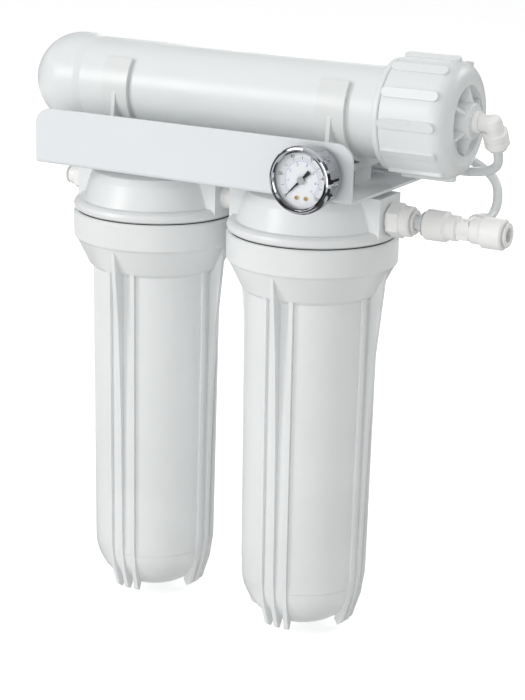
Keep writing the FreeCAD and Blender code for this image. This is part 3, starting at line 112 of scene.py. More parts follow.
@dataclass(frozen=True)
class Finish:
    """One surface finish, built as a procedural material on first use.

    Sizes are in metres and amounts run from 0 to 1.
    """

    name: str
    colour: tuple[float, float, float]
    roughness: float
    grain: Grain = Grain.MOULDED
    grain_size: float = 0.0006
    relief: float = 0.00003
    mottle: float = 0.02
    gloss_change: float = 0.05
    metallic: float = 0.0
    coat: float = 0.0
    depth_of_light: float = 0.0
    clear: float = 0.0
    refraction: float = 1.49
    edge: float = 0.0004
    # Painted highlight: how far rounded edges are lightened towards white.
    edge_light: float = 0.0
    sheen: float = 0.0
    solid: float = 1.0

    def material(self) -> bpy.types.Material:
        """Return this finish's material, building its nodes the first time."""
        label = f"{self.name}_finish"
        made = bpy.data.materials.get(label)
        if made is None:
            made = bpy.data.materials.new(label)
            made.use_nodes = True
            made.diffuse_color = (*self.colour, 1)
            self.wire(made.node_tree)
        return made

    def wire(self, tree: bpy.types.NodeTree) -> None:
        """Build the shader: rounded edges, painted edge highlights where asked, relief, uneven
        gloss and colour drift.

        Args:
            tree: The material's node tree, which already has its shader.
        """
        shader = tree.nodes["Principled BSDF"]
        self.set_uniform(shader)
        place = tree.nodes.new("ShaderNodeTexCoord").outputs["Object"]
        fine = self.grain_height(tree, place)
        broad = self.noise(tree, place, BROAD_SCALE, BROAD_DETAIL)
        colour = self.drift(tree, broad)
        rounded = tree.nodes.new("ShaderNodeBevel")
        rounded.samples = EDGE_SAMPLES
        rounded.inputs["Radius"].default_value = self.edge
        # Painted highlight: mix the colour towards white along rounded edges.
        if self.edge_light:
            colour = self.light_edges(tree, colour, rounded.outputs["Normal"])
        tree.links.new(colour, shader.inputs["Base Color"])
        gloss = tree.nodes.new("ShaderNodeMapRange")
        gloss.inputs["From Min"].default_value = DRIFT_FROM
        gloss.inputs["From Max"].default_value = DRIFT_TO
        least = max(LEAST_ROUGHNESS, self.roughness - self.gloss_change)
        gloss.inputs["To Min"].default_value = least
        gloss.inputs["To Max"].default_value = min(1.0, self.roughness + self.gloss_change)
        tree.links.new(broad, gloss.inputs["Value"])
        tree.links.new(gloss.outputs["Result"], shader.inputs["Roughness"])
        bump = tree.nodes.new("ShaderNodeBump")
        bump.inputs["Strength"].default_value = RELIEF_STRENGTH
        bump.inputs["Distance"].default_value = self.relief
        tree.links.new(fine, bump.inputs["Height"])
        tree.links.new(rounded.outputs["Normal"], bump.inputs["Normal"])
        tree.links.new(bump.outputs["Normal"], shader.inputs["Normal"])

    def set_uniform(self, shader: bpy.types.Node) -> None:
        """Set the values that are the same all over the surface."""
        shader.inputs["Metallic"].default_value = self.metallic
        shader.inputs["IOR"].default_value = self.refraction
        shader.inputs["Coat Weight"].default_value = self.coat
        shader.inputs["Coat Roughness"].default_value = COAT_ROUGHNESS
        shader.inputs["Subsurface Weight"].default_value = self.depth_of_light
        shader.inputs["Subsurface Radius"].default_value = SCATTER_TINT
        shader.inputs["Subsurface Scale"].default_value = SCATTER_DEPTH
        shader.inputs["Transmission Weight"].default_value = self.clear
        shader.inputs["Sheen Weight"].default_value = self.sheen
        shader.inputs["Alpha"].default_value = self.solid

    def noise(self, tree: bpy.types.NodeTree, place: bpy.types.NodeSocket,
              scale: float, detail: float) -> bpy.types.NodeSocket:
        """Add a noise texture.

        Args:
            tree: The material's node tree.
            place: The coordinates it reads.
            scale: Repeats in a metre.
            detail: Levels of finer noise.

        Returns:
            The texture's value.
        """
        item = tree.nodes.new("ShaderNodeTexNoise")
        item.inputs["Scale"].default_value = scale
        item.inputs["Detail"].default_value = detail
        item.inputs["Roughness"].default_value = NOISE_ROUGHNESS
        tree.links.new(place, item.inputs["Vector"])
        return item.outputs["Fac"]

    def stretched(self, tree: bpy.types.NodeTree, place: bpy.types.NodeSocket,
                  stretch: tuple[float, float, float]) -> bpy.types.NodeSocket:
        """Scale the coordinates unevenly, for a grain with a direction."""
        item = tree.nodes.new("ShaderNodeMapping")
        item.inputs["Scale"].default_value = stretch
        tree.links.new(place, item.inputs["Vector"])
        return item.outputs["Vector"]

    def grain_height(self, tree: bpy.types.NodeTree,
                     place: bpy.types.NodeSocket) -> bpy.types.NodeSocket:
        """Return the height of this finish's fine relief."""
        scale = 1 / self.grain_size
        if self.grain is Grain.POWDER:
            cells = tree.nodes.new("ShaderNodeTexVoronoi")
            cells.feature = "SMOOTH_F1"
            cells.inputs["Scale"].default_value = scale
            cells.inputs["Smoothness"].default_value = 1.0
            tree.links.new(place, cells.inputs["Vector"])
            return cells.outputs["Distance"]
        if self.grain is Grain.SPECKLE:
            cells = tree.nodes.new("ShaderNodeTexVoronoi")
            cells.inputs["Scale"].default_value = scale
            tree.links.new(place, cells.inputs["Vector"])
            return cells.outputs["Distance"]
        if self.grain is Grain.TURNED:
            return self.noise(tree, self.stretched(tree, place, (0.05, 1.0, 0.05)), scale, 2.0)
        if self.grain is Grain.FIBRE:
            return self.noise(tree, self.stretched(tree, place, (0.25, 0.25, 1.6)), scale, 6.0)
        if self.grain is Grain.EXTRUDED:
            return self.noise(tree, self.stretched(tree, place, (0.15, 1.0, 1.0)), scale, 2.0)
        return self.noise(tree, place, scale, 4.0)

    def drift(self, tree: bpy.types.NodeTree,
              amount: bpy.types.NodeSocket) -> bpy.types.NodeSocket:
        """Return the base colour, drifting a little darker and lighter."""
        ramp = tree.nodes.new("ShaderNodeValToRGB")
        low, high = ramp.color_ramp.elements
        low.position, high.position = DRIFT_FROM, DRIFT_TO
        low.color = (*[c * (1 - self.mottle) for c in self.colour], 1)
        high.color = (*[min(1.0, c * (1 + self.mottle)) for c in self.colour], 1)
        tree.links.new(amount, ramp.inputs["Fac"])
        return ramp.outputs["Color"]

    def light_edges(self, tree: bpy.types.NodeTree, colour: bpy.types.NodeSocket,
                    rounded: bpy.types.NodeSocket) -> bpy.types.NodeSocket:
        """Lighten the colour where the rounded normal leaves the flat one.

        Args:
            tree: The material's node tree.
            colour: The colour so far.
            rounded: The normal with rounded edges.

        Returns:
            The colour with painted highlights on the edges.
        """
        flat = tree.nodes.new("ShaderNodeNewGeometry")
        dot = tree.nodes.new("ShaderNodeVectorMath")
        dot.operation = "DOT_PRODUCT"
        tree.links.new(flat.outputs["Normal"], dot.inputs[0])
        tree.links.new(rounded, dot.inputs[1])
        # Painted highlight mask: strongest where the rounded normal turns furthest from the flat
        # one.
        highlight_mask = tree.nodes.new("ShaderNodeMapRange")
        highlight_mask.inputs["From Min"].default_value = EDGE_FLAT
        highlight_mask.inputs["From Max"].default_value = EDGE_TURNED
        highlight_mask.inputs["To Max"].default_value = self.edge_light
        tree.links.new(dot.outputs["Value"], highlight_mask.inputs["Value"])
        mix = tree.nodes.new("ShaderNodeMix")
        mix.data_type = "RGBA"
        tree.links.new(highlight_mask.outputs["Result"], mix.inputs["Factor"])
        colours = {item.name: item for item in mix.inputs if item.type == "RGBA"}
        tree.links.new(colour, colours["A"])
        colours["B"].default_value = WHITE
        return next(item for item in mix.outputs if item.type == "RGBA")


# Where a finish sets a highlight strength, its rounded edges are painted lighter as a highlight.
POWDER_COAT = Finish("powder_coat", linear("E2E5E7"), 0.34, Grain.POWDER, 0.0016, 0.00003,
                     0.005, 0.02, coat=0.12, edge=0.0007, edge_light=0.4)
HOUSING_PLASTIC = Finish("housing_plastic", linear("E7E9E9"), 0.36, Grain.MOULDED, 0.0007, 0.00003,
                         0.018, 0.07, depth_of_light=0.12, edge=0.0007, edge_light=0.15)
MEMBRANE_PLASTIC = Finish("membrane_plastic", linear("E4E7E7"), 0.36, Grain.MOULDED, 0.004,
                          0.00004, 0.008, 0.04, depth_of_light=0.10, edge=0.0006,
                          edge_light=0.2)
CLIP_PLASTIC = Finish("clip_plastic", linear("E0E3E2"), 0.34, Grain.MOULDED, 0.0009, 0.00003,
                      0.015, 0.05, depth_of_light=0.15, edge=0.0005, edge_light=0.2)
FITTING_PLASTIC = Finish("fitting_acetal", linear("F1F1EF"), 0.38, Grain.MOULDED, 0.0005, 0.00003,
                         0.015, 0.06, depth_of_light=0.18, edge=0.0004, edge_light=0.15)
COLLET_PLASTIC = Finish("collet_acetal", linear("EAEBE9"), 0.30, Grain.MOULDED, 0.0006, 0.00002,
                        0.012, 0.05, depth_of_light=0.2, edge=0.0003, edge_light=0.2)
HOSE_PLASTIC = Finish("hose_polyethylene", linear("E6E9EA"), 0.30, Grain.EXTRUDED, 0.0012, 0.00004,
                      0.03, 0.07, depth_of_light=0.4, clear=0.1, refraction=1.51, edge=0.0002)
ZINC = Finish("zinc_plate", linear("C9CBCD"), 0.34, Grain.FLAT, 0.002, 0.00001, 0.06, 0.12,
              metallic=1.0, edge=0.0002)
CHROME = Finish("gauge_chrome", linear("A2A4A8"), 0.05, Grain.TURNED, 0.0012, 0.000004, 0.01, 0.04,
                metallic=1.0, edge=0.0003)
BRASS = Finish("machined_brass", linear("C9A562"), 0.28, Grain.TURNED, 0.0008, 0.00001, 0.05, 0.08,
               metallic=1.0, edge=0.0002)
LENS = Finish("gauge_lens_glass", (0.97, 0.985, 0.99), 0.03, Grain.FLAT, 0.02, 0.000002, 0.0, 0.01,
              clear=1.0, refraction=1.46, edge=0.0003, solid=0.1)
DIAL_FACE = Finish("dial_enamel", linear("E9EBEF"), 0.42, Grain.FLAT, 0.0006, 0.000004, 0.01, 0.04,
                   edge=0.0001)
BLACK_INK = Finish("black_ink", (0.012, 0.012, 0.013), 0.45, Grain.FLAT, 0.0004, 0.000002, 0.1,
                   0.05, edge=0.00003)
BLUE_INK = Finish("blue_ink", linear("3A50B0"), 0.45, Grain.FLAT, 0.0004, 0.000002, 0.06, 0.05,
                  edge=0.00003)
NITRILE = Finish("nitrile_rubber", (0.018, 0.018, 0.019), 0.55, Grain.MOULDED, 0.0004, 0.00002,
                 0.15, 0.08, edge=0.0002)
SPUN_FIBRE = Finish("spun_fibre", linear("ECECE8"), 0.9, Grain.FIBRE, 0.0012, 0.0006, 0.05, 0.05,
                    depth_of_light=0.1, sheen=0.3, edge=0.0006)
CARTRIDGE_PLASTIC = Finish("cartridge_plastic", linear("E9E8E2"), 0.45, Grain.MOULDED, 0.0008,
                           0.00004, 0.02, 0.06, depth_of_light=0.15, edge=0.0004)
CARBON = Finish("pressed_carbon", (0.02, 0.02, 0.022), 0.82, Grain.SPECKLE, 0.0011, 0.0002, 0.3,
                0.1, edge=0.0004)
FOAM = Finish("foam_gasket", (0.05, 0.05, 0.052), 0.9, Grain.SPECKLE, 0.0009, 0.0001, 0.15, 0.05,
              edge=0.0003)
WOUND_TAPE = Finish("wound_tape", linear("CBD6E2"), 0.3, Grain.EXTRUDED, 0.004, 0.0001, 0.05, 0.08,
                    coat=0.3, edge=0.0003)

NODE_FINISHES = {
    POWDER_COAT: ["bracket"],
    ZINC: ["head_screws_left", "head_screws_right", "clip_screws", "clip_nuts"],
    HOUSING_PLASTIC: ["filter_head_left", "filter_head_right", "sump_left", "sump_right"],
    NITRILE: ["sump_o_ring_left", "sump_o_ring_right", "membrane_o_rings", "brine_seal"],
    SPUN_FIBRE: ["sediment_cartridge"],
    CARTRIDGE_PLASTIC: ["sediment_core", "carbon_cap_bottom", "carbon_cap_top", "membrane_core"],
    CARBON: ["carbon_block"],
    FOAM: ["carbon_gaskets"],
    FITTING_PLASTIC: ["inlet_connector", "interstage_nipple", "outlet_connector", "outlet_tee",
                      "cap_elbow", "permeate_elbow", "concentrate_elbow", "gauge_elbow",
                      "gauge_tee"],
    COLLET_PLASTIC: ["inlet_collet", "outlet_collet", "tee_inlet_collet", "tee_outlet_collet",
                     "tee_branch_collet", "cap_elbow_collet", "permeate_collet",
                     "concentrate_collet", "gauge_elbow_collet", "gauge_tee_collets"],
    HOSE_PLASTIC: ["link_tube"],
    MEMBRANE_PLASTIC: ["membrane_tube", "membrane_cap"],
    CLIP_PLASTIC: ["clip_left", "clip_right"],
    WOUND_TAPE: ["membrane_element"],
    CHROME: ["gauge_case", "gauge_bezel"],
    LENS: ["gauge_lens"],
    DIAL_FACE: ["gauge_dial"],
    BLACK_INK: ["gauge_pointer"],
    BRASS: ["gauge_stem", "gauge_c_tube", "gauge_movement", "gauge_nuts", "dial_screws",
            "gauge_arbor"],
}


def dress_nodes() -> None:
    """Give every carried-over node of the frame its finish."""
    for finish, names in NODE_FINISHES.items():
        for name in names:
            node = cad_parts[name]
            if not node.material_slots:
                node.data.materials.append(finish.material())
            for place in node.material_slots:
                place.material = finish.material()
        log.info("%s on %d nodes", finish.name, len(names))


class Tree:
    """A geometry node tree with named inputs, built step by step."""

    def __init__(self, name: str, **inputs: float) -> None:
        """Start a tree.

        Args:
            name: The tree's name.
            inputs: Each input's name and its first value.
        """
        self.tree = bpy.data.node_groups.new(name, "GeometryNodeTree")
        self.keys = {}
        for label, value in inputs.items():
            kind = "NodeSocketInt" if isinstance(value, int) else "NodeSocketFloat"
            item = self.tree.interface.new_socket(label, in_out="INPUT", socket_type=kind)
            item.default_value = value
            self.keys[label] = item.identifier
        self.tree.interface.new_socket("Geometry", in_out="OUTPUT",
                                       socket_type="NodeSocketGeometry")
        self.entry = self.tree.nodes.new("NodeGroupInput")

    def add(self, kind: str, **settings: object) -> bpy.types.Node:
        """Add a node and set its options."""
        item = self.tree.nodes.new(kind)
        for key, value in settings.items():
            setattr(item, key, value)
        return item

    def join(self, source: object, target: bpy.types.NodeSocket) -> None:
        """Link a socket, or an input given by its name, to a socket."""
        output = self.entry.outputs[source] if isinstance(source, str) else source
        self.tree.links.new(output, target)

    def close(self, geometry: bpy.types.NodeSocket, finish: Finish) -> None:
        """Realize the instances, set the material and reach the output."""
        real = self.add("GeometryNodeRealizeInstances")
        paint = self.add("GeometryNodeSetMaterial")
        paint.inputs["Material"].default_value = finish.material()
        end = self.add("NodeGroupOutput")
        self.join(geometry, real.inputs["Geometry"])
        self.join(real.outputs["Geometry"], paint.inputs["Geometry"])
        self.join(paint.outputs["Geometry"], end.inputs["Geometry"])

    def run(self, turn: Matrix, **values: float) -> bpy.types.Mesh:
        """Evaluate the tree to a plain mesh.

        Args:
            turn: Where the result goes, as a matrix.
            values: Input values by name.

        Returns:
            The finished mesh, in place.
        """
        holder = bpy.data.objects.new("holder", bpy.data.meshes.new("holder"))
        bpy.context.scene.collection.objects.link(holder)
        modifier = holder.modifiers.new("nodes", "NODES")
        modifier.node_group = self.tree
        for label, value in values.items():
            modifier[self.keys[label]] = value
        graph = bpy.context.evaluated_depsgraph_get()
        graph.update()
        mesh = bpy.data.meshes.new_from_object(holder.evaluated_get(graph))
        bpy.data.objects.remove(holder)
        mesh.transform(turn)
        return mesh


def piece(name: str, meshes: list[bpy.types.Mesh], finish: Finish, body: str,
          smooth: bool = True) -> bpy.types.Object:
    """Join meshes into one piece that rides on a body.

    Args:
        name: The piece's name.
        meshes: Meshes already in place.
        finish: The finish for all of it.
        body: The frame body it moves with.
        smooth: Whether its faces shade smoothly.

    Returns:
        The new object.
    """
    shell = bmesh.new()
    for mesh in meshes:
        shell.from_mesh(mesh)
    bmesh.ops.recalc_face_normals(shell, faces=shell.faces)
    whole = bpy.data.meshes.new(name)
    shell.to_mesh(whole)
    shell.free()
    whole.materials.clear()
    whole.materials.append(finish.material())
    whole.polygons.foreach_set("use_smooth", [smooth] * len(whole.polygons))
    whole.polygons.foreach_set("material_index", [0] * len(whole.polygons))
    item = bpy.data.objects.new(name, whole)
    bpy.context.scene.collection.objects.link(item)
    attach(item, body)
    log.info("%s: %d faces", name, len(whole.polygons))
    return item


def bead_tree(finish: Finish) -> Tree:
    """Build the tree for a thin raised bead round a circle.

    Args:
        finish: The bead's finish.

    Returns:
        A tree with the ring's radius and the bead's radius as inputs.
    """
    tree = Tree("moulded_bead", Ring=0.04, Bead=0.0002)
    path = tree.add("GeometryNodeCurvePrimitiveCircle")
    path.inputs["Resolution"].default_value = RING_STEPS
    section = tree.add("GeometryNodeCurvePrimitiveCircle")
    section.inputs["Resolution"].default_value = BEAD_STEPS
    sweep = tree.add("GeometryNodeCurveToMesh")
    tree.join("Ring", path.inputs["Radius"])
    tree.join("Bead", section.inputs["Radius"])
    tree.join(path.outputs["Curve"], sweep.inputs["Curve"])
    tree.join(section.outputs["Curve"], sweep.inputs["Profile Curve"])
    tree.close(sweep.outputs["Mesh"], finish)
    return tree


def spoke_tree(name: str, finish: Finish) -> Tree:
    """Build the tree for small blocks spread round part of a circle.

    Args:
        name: The tree's name.
        finish: The blocks' finish.

    Returns:
        A tree with radius, start, sweep, count and block sizes as inputs.
    """
    tree = Tree(name, Radius=0.01, Start=0.0, Sweep=math.pi, Count=10, Width=0.0002, Length=0.001,
                Depth=0.00002)
    arc = tree.add("GeometryNodeCurveArc")
    for label, target in (("Radius", "Radius"), ("Start", "Start Angle"), ("Sweep", "Sweep Angle")):
        tree.join(label, arc.inputs[target])
    arc.inputs["Resolution"].default_value = ARC_STEPS
    points = tree.add("GeometryNodeCurveToPoints")
    tree.join("Count", points.inputs["Count"])
    tree.join(arc.outputs["Curve"], points.inputs["Curve"])
    block = tree.add("GeometryNodeMeshCube")
    sizes = tree.add("ShaderNodeCombineXYZ")
    tree.join("Width", sizes.inputs["Z"])
    tree.join("Length", sizes.inputs["X"])
    tree.join("Depth", sizes.inputs["Y"])
    tree.join(sizes.outputs["Vector"], block.inputs["Size"])
    spread = tree.add("GeometryNodeInstanceOnPoints")
    tree.join(points.outputs["Points"], spread.inputs["Points"])
    tree.join(block.outputs["Mesh"], spread.inputs["Instance"])
    tree.join(points.outputs["Rotation"], spread.inputs["Rotation"])
    tree.close(spread.outputs["Instances"], finish)
    return tree


@dataclass
class FilterHousing:
    """One screw-on housing: the lines that its mould leaves on the bowl."""

    side: str
    bead: float = 0.16 * MM
    ring: float = 43.55 * MM
    line_rise: float = 33 * MM

    def build(self) -> None:
        """Add the mould's parting bead near the rounded foot."""
        low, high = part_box(f"sump_{self.side}")
        centre = Vector(((low.x + high.x) / 2, (low.y + high.y) / 2, low.z + self.line_rise))
        tree = bead_tree(HOUSING_PLASTIC)
        mesh = tree.run(Matrix.Translation(centre), Ring=self.ring, Bead=self.bead)
        piece(f"bowl_mould_line_{self.side}", [mesh], HOUSING_PLASTIC, SUMP_BODY[self.side])


@dataclass
class Hose:
    """One quarter inch hose on a smooth line between two fittings."""

    name: str
    node: str
    points: list[tuple[float, float, float]]
    exit: tuple[float, float, float]
    diameter: float = 6.35 * MM

    def line(self, name: str) -> bpy.types.Curve:
        """Make the smooth line through the hose's control points.

        Args:
            name: The curve's name.

        Returns:
            A curve of one open spline.
        """
        data = bpy.data.curves.new(name, "CURVE")
        data.dimensions = "3D"
        spline = data.splines.new("NURBS")
        spline.points.add(len(self.points) - 1)
        for k, place in enumerate(self.points):
            spline.points[k].co = (*[c * MM for c in place], 1)
        spline.order_u = 3
        spline.use_endpoint_u = True
        return data

    def build(self) -> None:
        data = self.line(self.name)
        data.splines[0].resolution_u = 12
        data.bevel_depth = self.diameter / 2
        data.bevel_resolution = 6
        data.use_fill_caps = True
        data.materials.append(HOSE_PLASTIC.material())
        item = bpy.data.objects.new(self.name, data)
        bpy.context.scene.collection.objects.link(item)
        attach(item, ROOT)
        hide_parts(self.node)
        length = self.length()
        log.info("%s: %.0f mm long", self.name, length / MM)

    def length(self) -> float:
        """Measure the smooth line in metres."""
        data = self.line("measure")
        item = bpy.data.objects.new("measure", data)
        mesh = bpy.data.meshes.new_from_object(item)
        places = [v.co.copy() for v in mesh.vertices]
        bpy.data.objects.remove(item)
        bpy.data.curves.remove(data)
        bpy.data.meshes.remove(mesh)
        return sum((b - a).length for a, b in zip(places, places[1:]))


HOSES = [
    Hose("membrane_feed", "membrane_feed_hose", [
        (190, -65.05, -1.57), (190, -52.8, -22.78), (184, -42, -33), (168, -34.5, -38.5),
        (147, -27.5, -40.5), (116, -22, -41.5), (82, -18.5, -42), (40, -16, -34.5),
        (40, -16, 2.5)],
        (190, -56.3, -16.7)),
    Hose("tee_link", "tee_link_hose", [
        (175.6, -57.4, -70), (175.6, -32, -70), (176.5, -17, -64), (171.5, -8, -48),
        (157, -7.5, -38.5), (138, -7.5, -31), (117, -9, -18), (97, -13, -1), (70, -16, 7.5),
        (45, -16, 7.5)],
        (175.6, -39.9, -70)),
    Hose("gauge_line", "gauge_hose", [
        (35, -16, 7.5), (6, -16, 7.5), (-22, -15, -5), (-48, -14.5, -24), (-82, -18, -39),
        (-106, -40, -43), (-112, -68, -43.2), (-104, -98, -43), (-78, -114, -42),
        (-46, -117, -41.5), (-10, -115.5, -42), (30, -114, -40), (61.6, -112.3, -32.9),
        (95.6, -112.3, -32.9)],
        (17.5, -16, 7.5)),
]


@dataclass
class PressureGauge:
    """The print on the gauge's dial, and the pointer's needle and cap."""

    start: float = math.radians(225)
    sweep: float = math.radians(-270)
    outer_radius: float = 12.8 * MM
    inner_radius: float = 12.1 * MM
    ink: float = 0.03 * MM
    hub_radius: float = 2.6 * MM
    hub_height: float = 0.16 * MM
    needle_length: float = 15.6 * MM
    needle_height: float = 0.12 * MM
    needle_start: float = 1.9 * MM
    needle_root: float = 0.42 * MM
    needle_tip: float = 0.12 * MM
    plate_depth: float = 0.4 * MM
    face: Vector = field(default_factory=Vector)
    axis: Matrix = field(default_factory=Matrix)

    def build(self) -> None:
        """Print both scales on the dial and finish the pointer."""
        low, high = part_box("gauge_dial")
        self.face = Vector(((low.x + high.x) / 2, low.y - self.ink / 2 - 0.01 * MM,
                            (low.z + high.z) / 2))
        self.axis = Matrix.Translation(self.face) @ FACE_ON
        self.scale("outer", BLACK_INK, self.outer_radius, [(51, 0.16, 1.4), (11, 0.34, 2.3)], 1)
        self.scale("inner", BLUE_INK, self.inner_radius, [(36, 0.14, 0.7), (8, 0.28, 1.2)], -1)
        self.numbers("outer", [str(n) for n in range(0, 101, 20)], 100, 20, 16.0, 2.4, BLACK_INK)
        self.numbers("inner", [str(n) for n in range(8)], 7, 1, 9.8, 1.9, BLUE_INK)
        self.ring()
        low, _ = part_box("gauge_pointer")
        front = Vector((self.face.x, low.y, self.face.z))
        self.hub_cap(front)
        self.needle(front)

    def ring(self) -> None:
        """Print the fine line that joins the inner scale's ticks."""
        tree = spoke_tree("inner_ring", BLUE_INK)
        mesh = tree.run(self.axis, Radius=self.inner_radius, Start=self.start, Sweep=self.sweep,
                        Count=120, Width=0.5 * MM, Length=0.14 * MM, Depth=self.ink * 0.8)
        piece("dial_inner_ring", [mesh], BLUE_INK, ROOT, smooth=False)

    def hub_cap(self, front: Vector) -> None:
        """Add the polished cap on the pointer's hub.

        Args:
            front: The middle of the hub's front.
        """
        shell = bmesh.new()
        bmesh.ops.create_cone(shell, cap_ends=True, segments=48, radius1=self.hub_radius,
                              radius2=self.hub_radius - 0.1 * MM, depth=self.hub_height)
        lift = Matrix.Translation(front - Vector((0, self.hub_height / 2, 0)))
        bmesh.ops.transform(shell, matrix=lift @ FACE_ON, verts=shell.verts)
        cap = bpy.data.meshes.new("hub_cap")
        shell.to_mesh(cap)
        shell.free()
        piece("pointer_hub_cap", [cap], ZINC, "pointer", smooth=False)

    def needle(self, front: Vector) -> None:
        """Add the long thin needle over the pointer's plate.

        Args:
            front: The middle of the hub's front.
        """
        corners = []
        for depth in (0, self.needle_height):
            for along, half in ((self.needle_start, -self.needle_root),
                                (self.needle_length, -self.needle_tip),
                                (self.needle_length, self.needle_tip),
                                (self.needle_start, self.needle_root)):
                corners.append((along, half, depth))
        faces = [(3, 2, 1, 0), (4, 5, 6, 7)]
        faces += [(k, (k + 1) % 4, (k + 1) % 4 + 4, k + 4) for k in range(4)]
        needle = bpy.data.meshes.new("needle")
        needle.from_pydata(corners, [], faces)
        seat = Matrix.Translation(front + Vector((0, self.plate_depth, 0)))
        needle.transform(seat @ FACE_ON @ Matrix.Rotation(self.start, 4, "Z"))
        piece("pointer_needle", [needle], BLACK_INK, "pointer", smooth=False)

    def scale(self, name: str, finish: Finish, radius: float,
              rows: list[tuple[int, float, float]], side: int) -> None:
        """Print one ring of ticks.

        Args:
            name: Which scale.
            finish: Its ink.
            radius: Where the ticks start, in metres.
            rows: Count, width and length in millimetres of each row of ticks.
            side: 1 if the ticks grow outwards and -1 if inwards.
        """
        tree = spoke_tree(f"{name}_ticks", finish)
        meshes = [tree.run(self.axis, Radius=radius + side * length * MM / 2, Start=self.start,
                           Sweep=self.sweep, Count=count, Width=width * MM, Length=length * MM,
                           Depth=self.ink) for count, width, length in rows]
        piece(f"dial_{name}_scale", meshes, finish, ROOT, smooth=False)

    def numbers(self, name: str, labels: list[str], top: int, step: int, radius: float,
                height: float, finish: Finish) -> None:
        """Print the figures of one scale.

        Args:
            name: Which scale.
            labels: The figures in order.
            top: The value at the end of the sweep.
            step: The value between two figures.
            radius: Where the figures stand, in millimetres.
            height: The figures' height in millimetres.
            finish: Their ink.
        """
        meshes = []
        for k, label in enumerate(labels):
            angle = self.start + self.sweep * k * step / top
            data = bpy.data.curves.new("figure", "FONT")
            data.body = label
            data.size = height * FONT_SIZE_PER_HEIGHT * MM
            data.align_x = "CENTER"
            data.align_y = "CENTER"
            data.extrude = self.ink / 2
            data.resolution_u = 4
            holder = bpy.data.objects.new("figure", data)
            bpy.context.scene.collection.objects.link(holder)
            bpy.context.view_layer.update()
            graph = bpy.context.evaluated_depsgraph_get()
            mesh = bpy.data.meshes.new_from_object(holder.evaluated_get(graph))
            bpy.data.objects.remove(holder)
            shift = Vector((math.cos(angle) * radius * MM, math.sin(angle) * radius * MM, 0))
            mesh.transform(self.axis @ Matrix.Translation(shift))
            meshes.append(mesh)
        piece(f"dial_{name}_figures", meshes, finish, ROOT, smooth=False)


# Each lamp's name, its place and side in metres, and its power in watts.
LAMPS = [
    ("key", (-1.3, -2.1, 0.7), 0.8, 20),
    ("fill", (0.5, -2.6, -0.05), 1.2, 17),
    ("top", (0.0, 0.1, 2.2), 0.7, 3),
    ("rim", (1.2, 1.5, 1.0), 0.6, 9),
    ("back", (-0.9, 2.1, 0.7), 1.0, 9),
]

# Greys of the surroundings from straight down, at -1, to straight up, at 1.
EVEN_LIGHT = [(-1.0, 0.95), (0.3, 0.85)]
METAL_STRIPS = [
    (-1.0, 0.1), (-0.82, 0.1), (-0.76, 0.9), (-0.66, 0.9), (-0.6, 0.05),
    (-0.36, 0.05), (-0.33, 1.0), (-0.22, 1.0), (-0.18, 0.04), (0.26, 0.04),
    (0.3, 0.9), (0.38, 0.9), (0.42, 0.12), (0.68, 0.2), (0.76, 1.0),
]


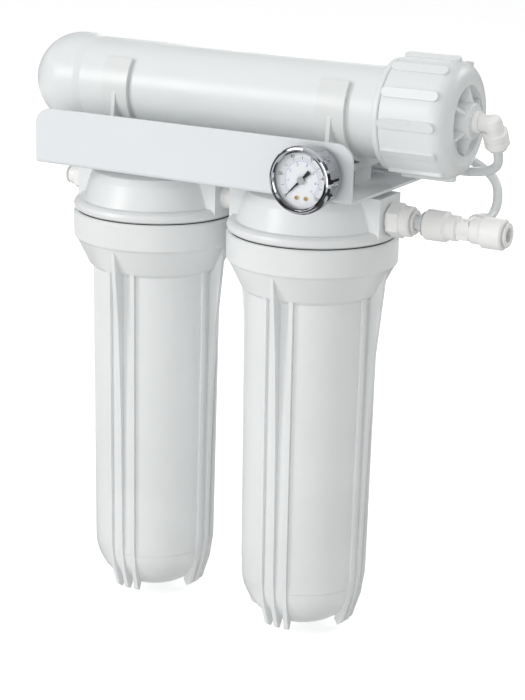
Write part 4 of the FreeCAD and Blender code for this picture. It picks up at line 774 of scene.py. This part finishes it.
@dataclass
class Studio:
    """Pale seamless floor, soft lights and the camera."""

    floor_drop: float = 4 * MM
    half_width: float = 9.0
    front: float = -6.0
    back: float = 5.0
    rise: float = 7.0
    sweep_radius: float = 2.0
    glow: float = 0.42
    lens: float = 93.65
    shift: tuple[float, float] = (-0.0139, -0.0374)
    camera_right: tuple[float, float, float] = (0.8702, 0.4921, 0.0237)
    camera_up: tuple[float, float, float] = (-0.1549, 0.2277, 0.9613)
    camera_back: tuple[float, float, float] = (0.4676, -0.8403, 0.2743)
    camera_place: tuple[float, float, float] = (0.6294, -1.1391, 0.1930)
    ambient: float = 0.72
    shine: float = 1.3
    aim: tuple[float, float, float] = (0, -0.07, -0.15)

    def build(self) -> None:
        """Make the floor, the lights, the sky light and the camera."""
        low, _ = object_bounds()
        self.floor(low.z - self.floor_drop)
        for name, place, size, power in LAMPS:
            self.lamp(name, place, size, power)
        self.sky()
        self.camera()

    def floor(self, height: float) -> None:
        """Make the floor with a curved sweep up behind the unit."""
        profile = [(self.front, height)]
        steps = 24
        for k in range(steps + 1):
            angle = math.pi / 2 * k / steps
            profile.append((self.back + math.sin(angle) * self.sweep_radius,
                            height + (1 - math.cos(angle)) * self.sweep_radius))
        profile.append((self.back + self.sweep_radius, height + self.rise))
        corners = [(x, y, z) for y, z in profile for x in (-self.half_width, self.half_width)]
        faces = [(2 * k, 2 * k + 1, 2 * k + 3, 2 * k + 2) for k in range(len(profile) - 1)]
        mesh = bpy.data.meshes.new("studio_floor")
        mesh.from_pydata(corners, [], faces)
        mesh.polygons.foreach_set("use_smooth", [True] * len(mesh.polygons))
        paper = Finish("studio_paper", (0.93, 0.93, 0.93), 0.85, Grain.MOULDED, 0.01, 0.00002,
                       0.004, 0.02)
        shader = paper.material().node_tree.nodes["Principled BSDF"]
        shader.inputs["Emission Strength"].default_value = self.glow
        shader.inputs["Emission Color"].default_value = WHITE
        mesh.materials.append(paper.material())
        item = bpy.data.objects.new("studio_floor", mesh)
        bpy.context.scene.collection.objects.link(item)
        item.visible_diffuse = False
        item.visible_glossy = False
        item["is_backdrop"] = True

    def lamp(self, name: str, place: tuple[float, float, float], size: float,
             power: float) -> None:
        """Add a square soft light that faces the middle of the unit.

        Args:
            name: The light's name.
            place: Where it hangs, in metres.
            size: The length of its side, in metres.
            power: Its power in watts.
        """
        data = bpy.data.lights.new(name, "AREA")
        data.shape = "SQUARE"
        data.size = size
        data.energy = power
        item = bpy.data.objects.new(name, data)
        bpy.context.scene.collection.objects.link(item)
        item.location = place
        aim = Vector(self.aim) - Vector(place)
        item.rotation_mode = "QUATERNION"
        item.rotation_quaternion = aim.to_track_quat("-Z", "Y")

    def sky(self) -> None:
        """Light the unit evenly from all round, and give polished metal bands to reflect."""
        world = bpy.data.worlds.new("studio_light")
        world.use_nodes = True
        tree = world.node_tree
        way = tree.nodes.new("ShaderNodeTexCoord")
        parts = tree.nodes.new("ShaderNodeSeparateXYZ")
        height = tree.nodes.new("ShaderNodeMapRange")
        height.inputs["From Min"].default_value = -1.0
        tree.links.new(way.outputs["Generated"], parts.inputs["Vector"])
        tree.links.new(parts.outputs["Z"], height.inputs["Value"])
        choice = tree.nodes.new("ShaderNodeMixShader")
        ray = tree.nodes.new("ShaderNodeLightPath")
        tree.links.new(ray.outputs["Is Glossy Ray"], choice.inputs["Fac"])
        for place, strength, bands in ((1, self.ambient, EVEN_LIGHT),
                                       (2, self.shine, METAL_STRIPS)):
            around = tree.nodes.new("ShaderNodeBackground")
            around.inputs["Strength"].default_value = strength
            ramp = tree.nodes.new("ShaderNodeValToRGB")
            while len(ramp.color_ramp.elements) < len(bands):
                ramp.color_ramp.elements.new(0.5)
            for stop, (rise, grey) in zip(ramp.color_ramp.elements, bands):
                stop.position = (rise + 1) / 2
                stop.color = (grey, grey, grey, 1)
            tree.links.new(height.outputs["Result"], ramp.inputs["Fac"])
            tree.links.new(ramp.outputs["Color"], around.inputs["Color"])
            tree.links.new(around.outputs["Background"], choice.inputs[place])
        plain = tree.nodes.new("ShaderNodeBackground")
        plain.inputs["Color"].default_value = WHITE
        seen = tree.nodes.new("ShaderNodeMixShader")
        tree.links.new(ray.outputs["Is Camera Ray"], seen.inputs["Fac"])
        tree.links.new(choice.outputs["Shader"], seen.inputs[1])
        tree.links.new(plain.outputs["Background"], seen.inputs[2])
        end = next(item for item in tree.nodes if item.type == "OUTPUT_WORLD")
        tree.links.new(seen.outputs["Shader"], end.inputs["Surface"])
        bpy.context.scene.world = world
        bpy.context.scene.view_settings.view_transform = "Standard"

    def camera(self) -> None:
        """Add the camera at the unit's right front, a little above it."""
        data = bpy.data.cameras.new("camera")
        data.lens = self.lens
        data.sensor_width = 36
        data.shift_x, data.shift_y = self.shift
        data.clip_start = 0.05
        data.clip_end = 60
        item = bpy.data.objects.new("camera", data)
        bpy.context.scene.collection.objects.link(item)
        columns = (self.camera_right, self.camera_up, self.camera_back, self.camera_place)
        item.matrix_world = Matrix((*zip(*columns), (0, 0, 0, 1)))
        bpy.context.scene.camera = item


def main() -> None:
    """Build every sub-assembly in order."""
    logging.basicConfig(level=logging.INFO, format="%(name)s: %(message)s")
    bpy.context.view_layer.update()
    Studio().build()
    for hose in HOSES:
        hose.build()
    dress_nodes()
    for side in SUMP_BODY:
        FilterHousing(side).build()
    PressureGauge().build()


if __name__ == "__main__":
    main()
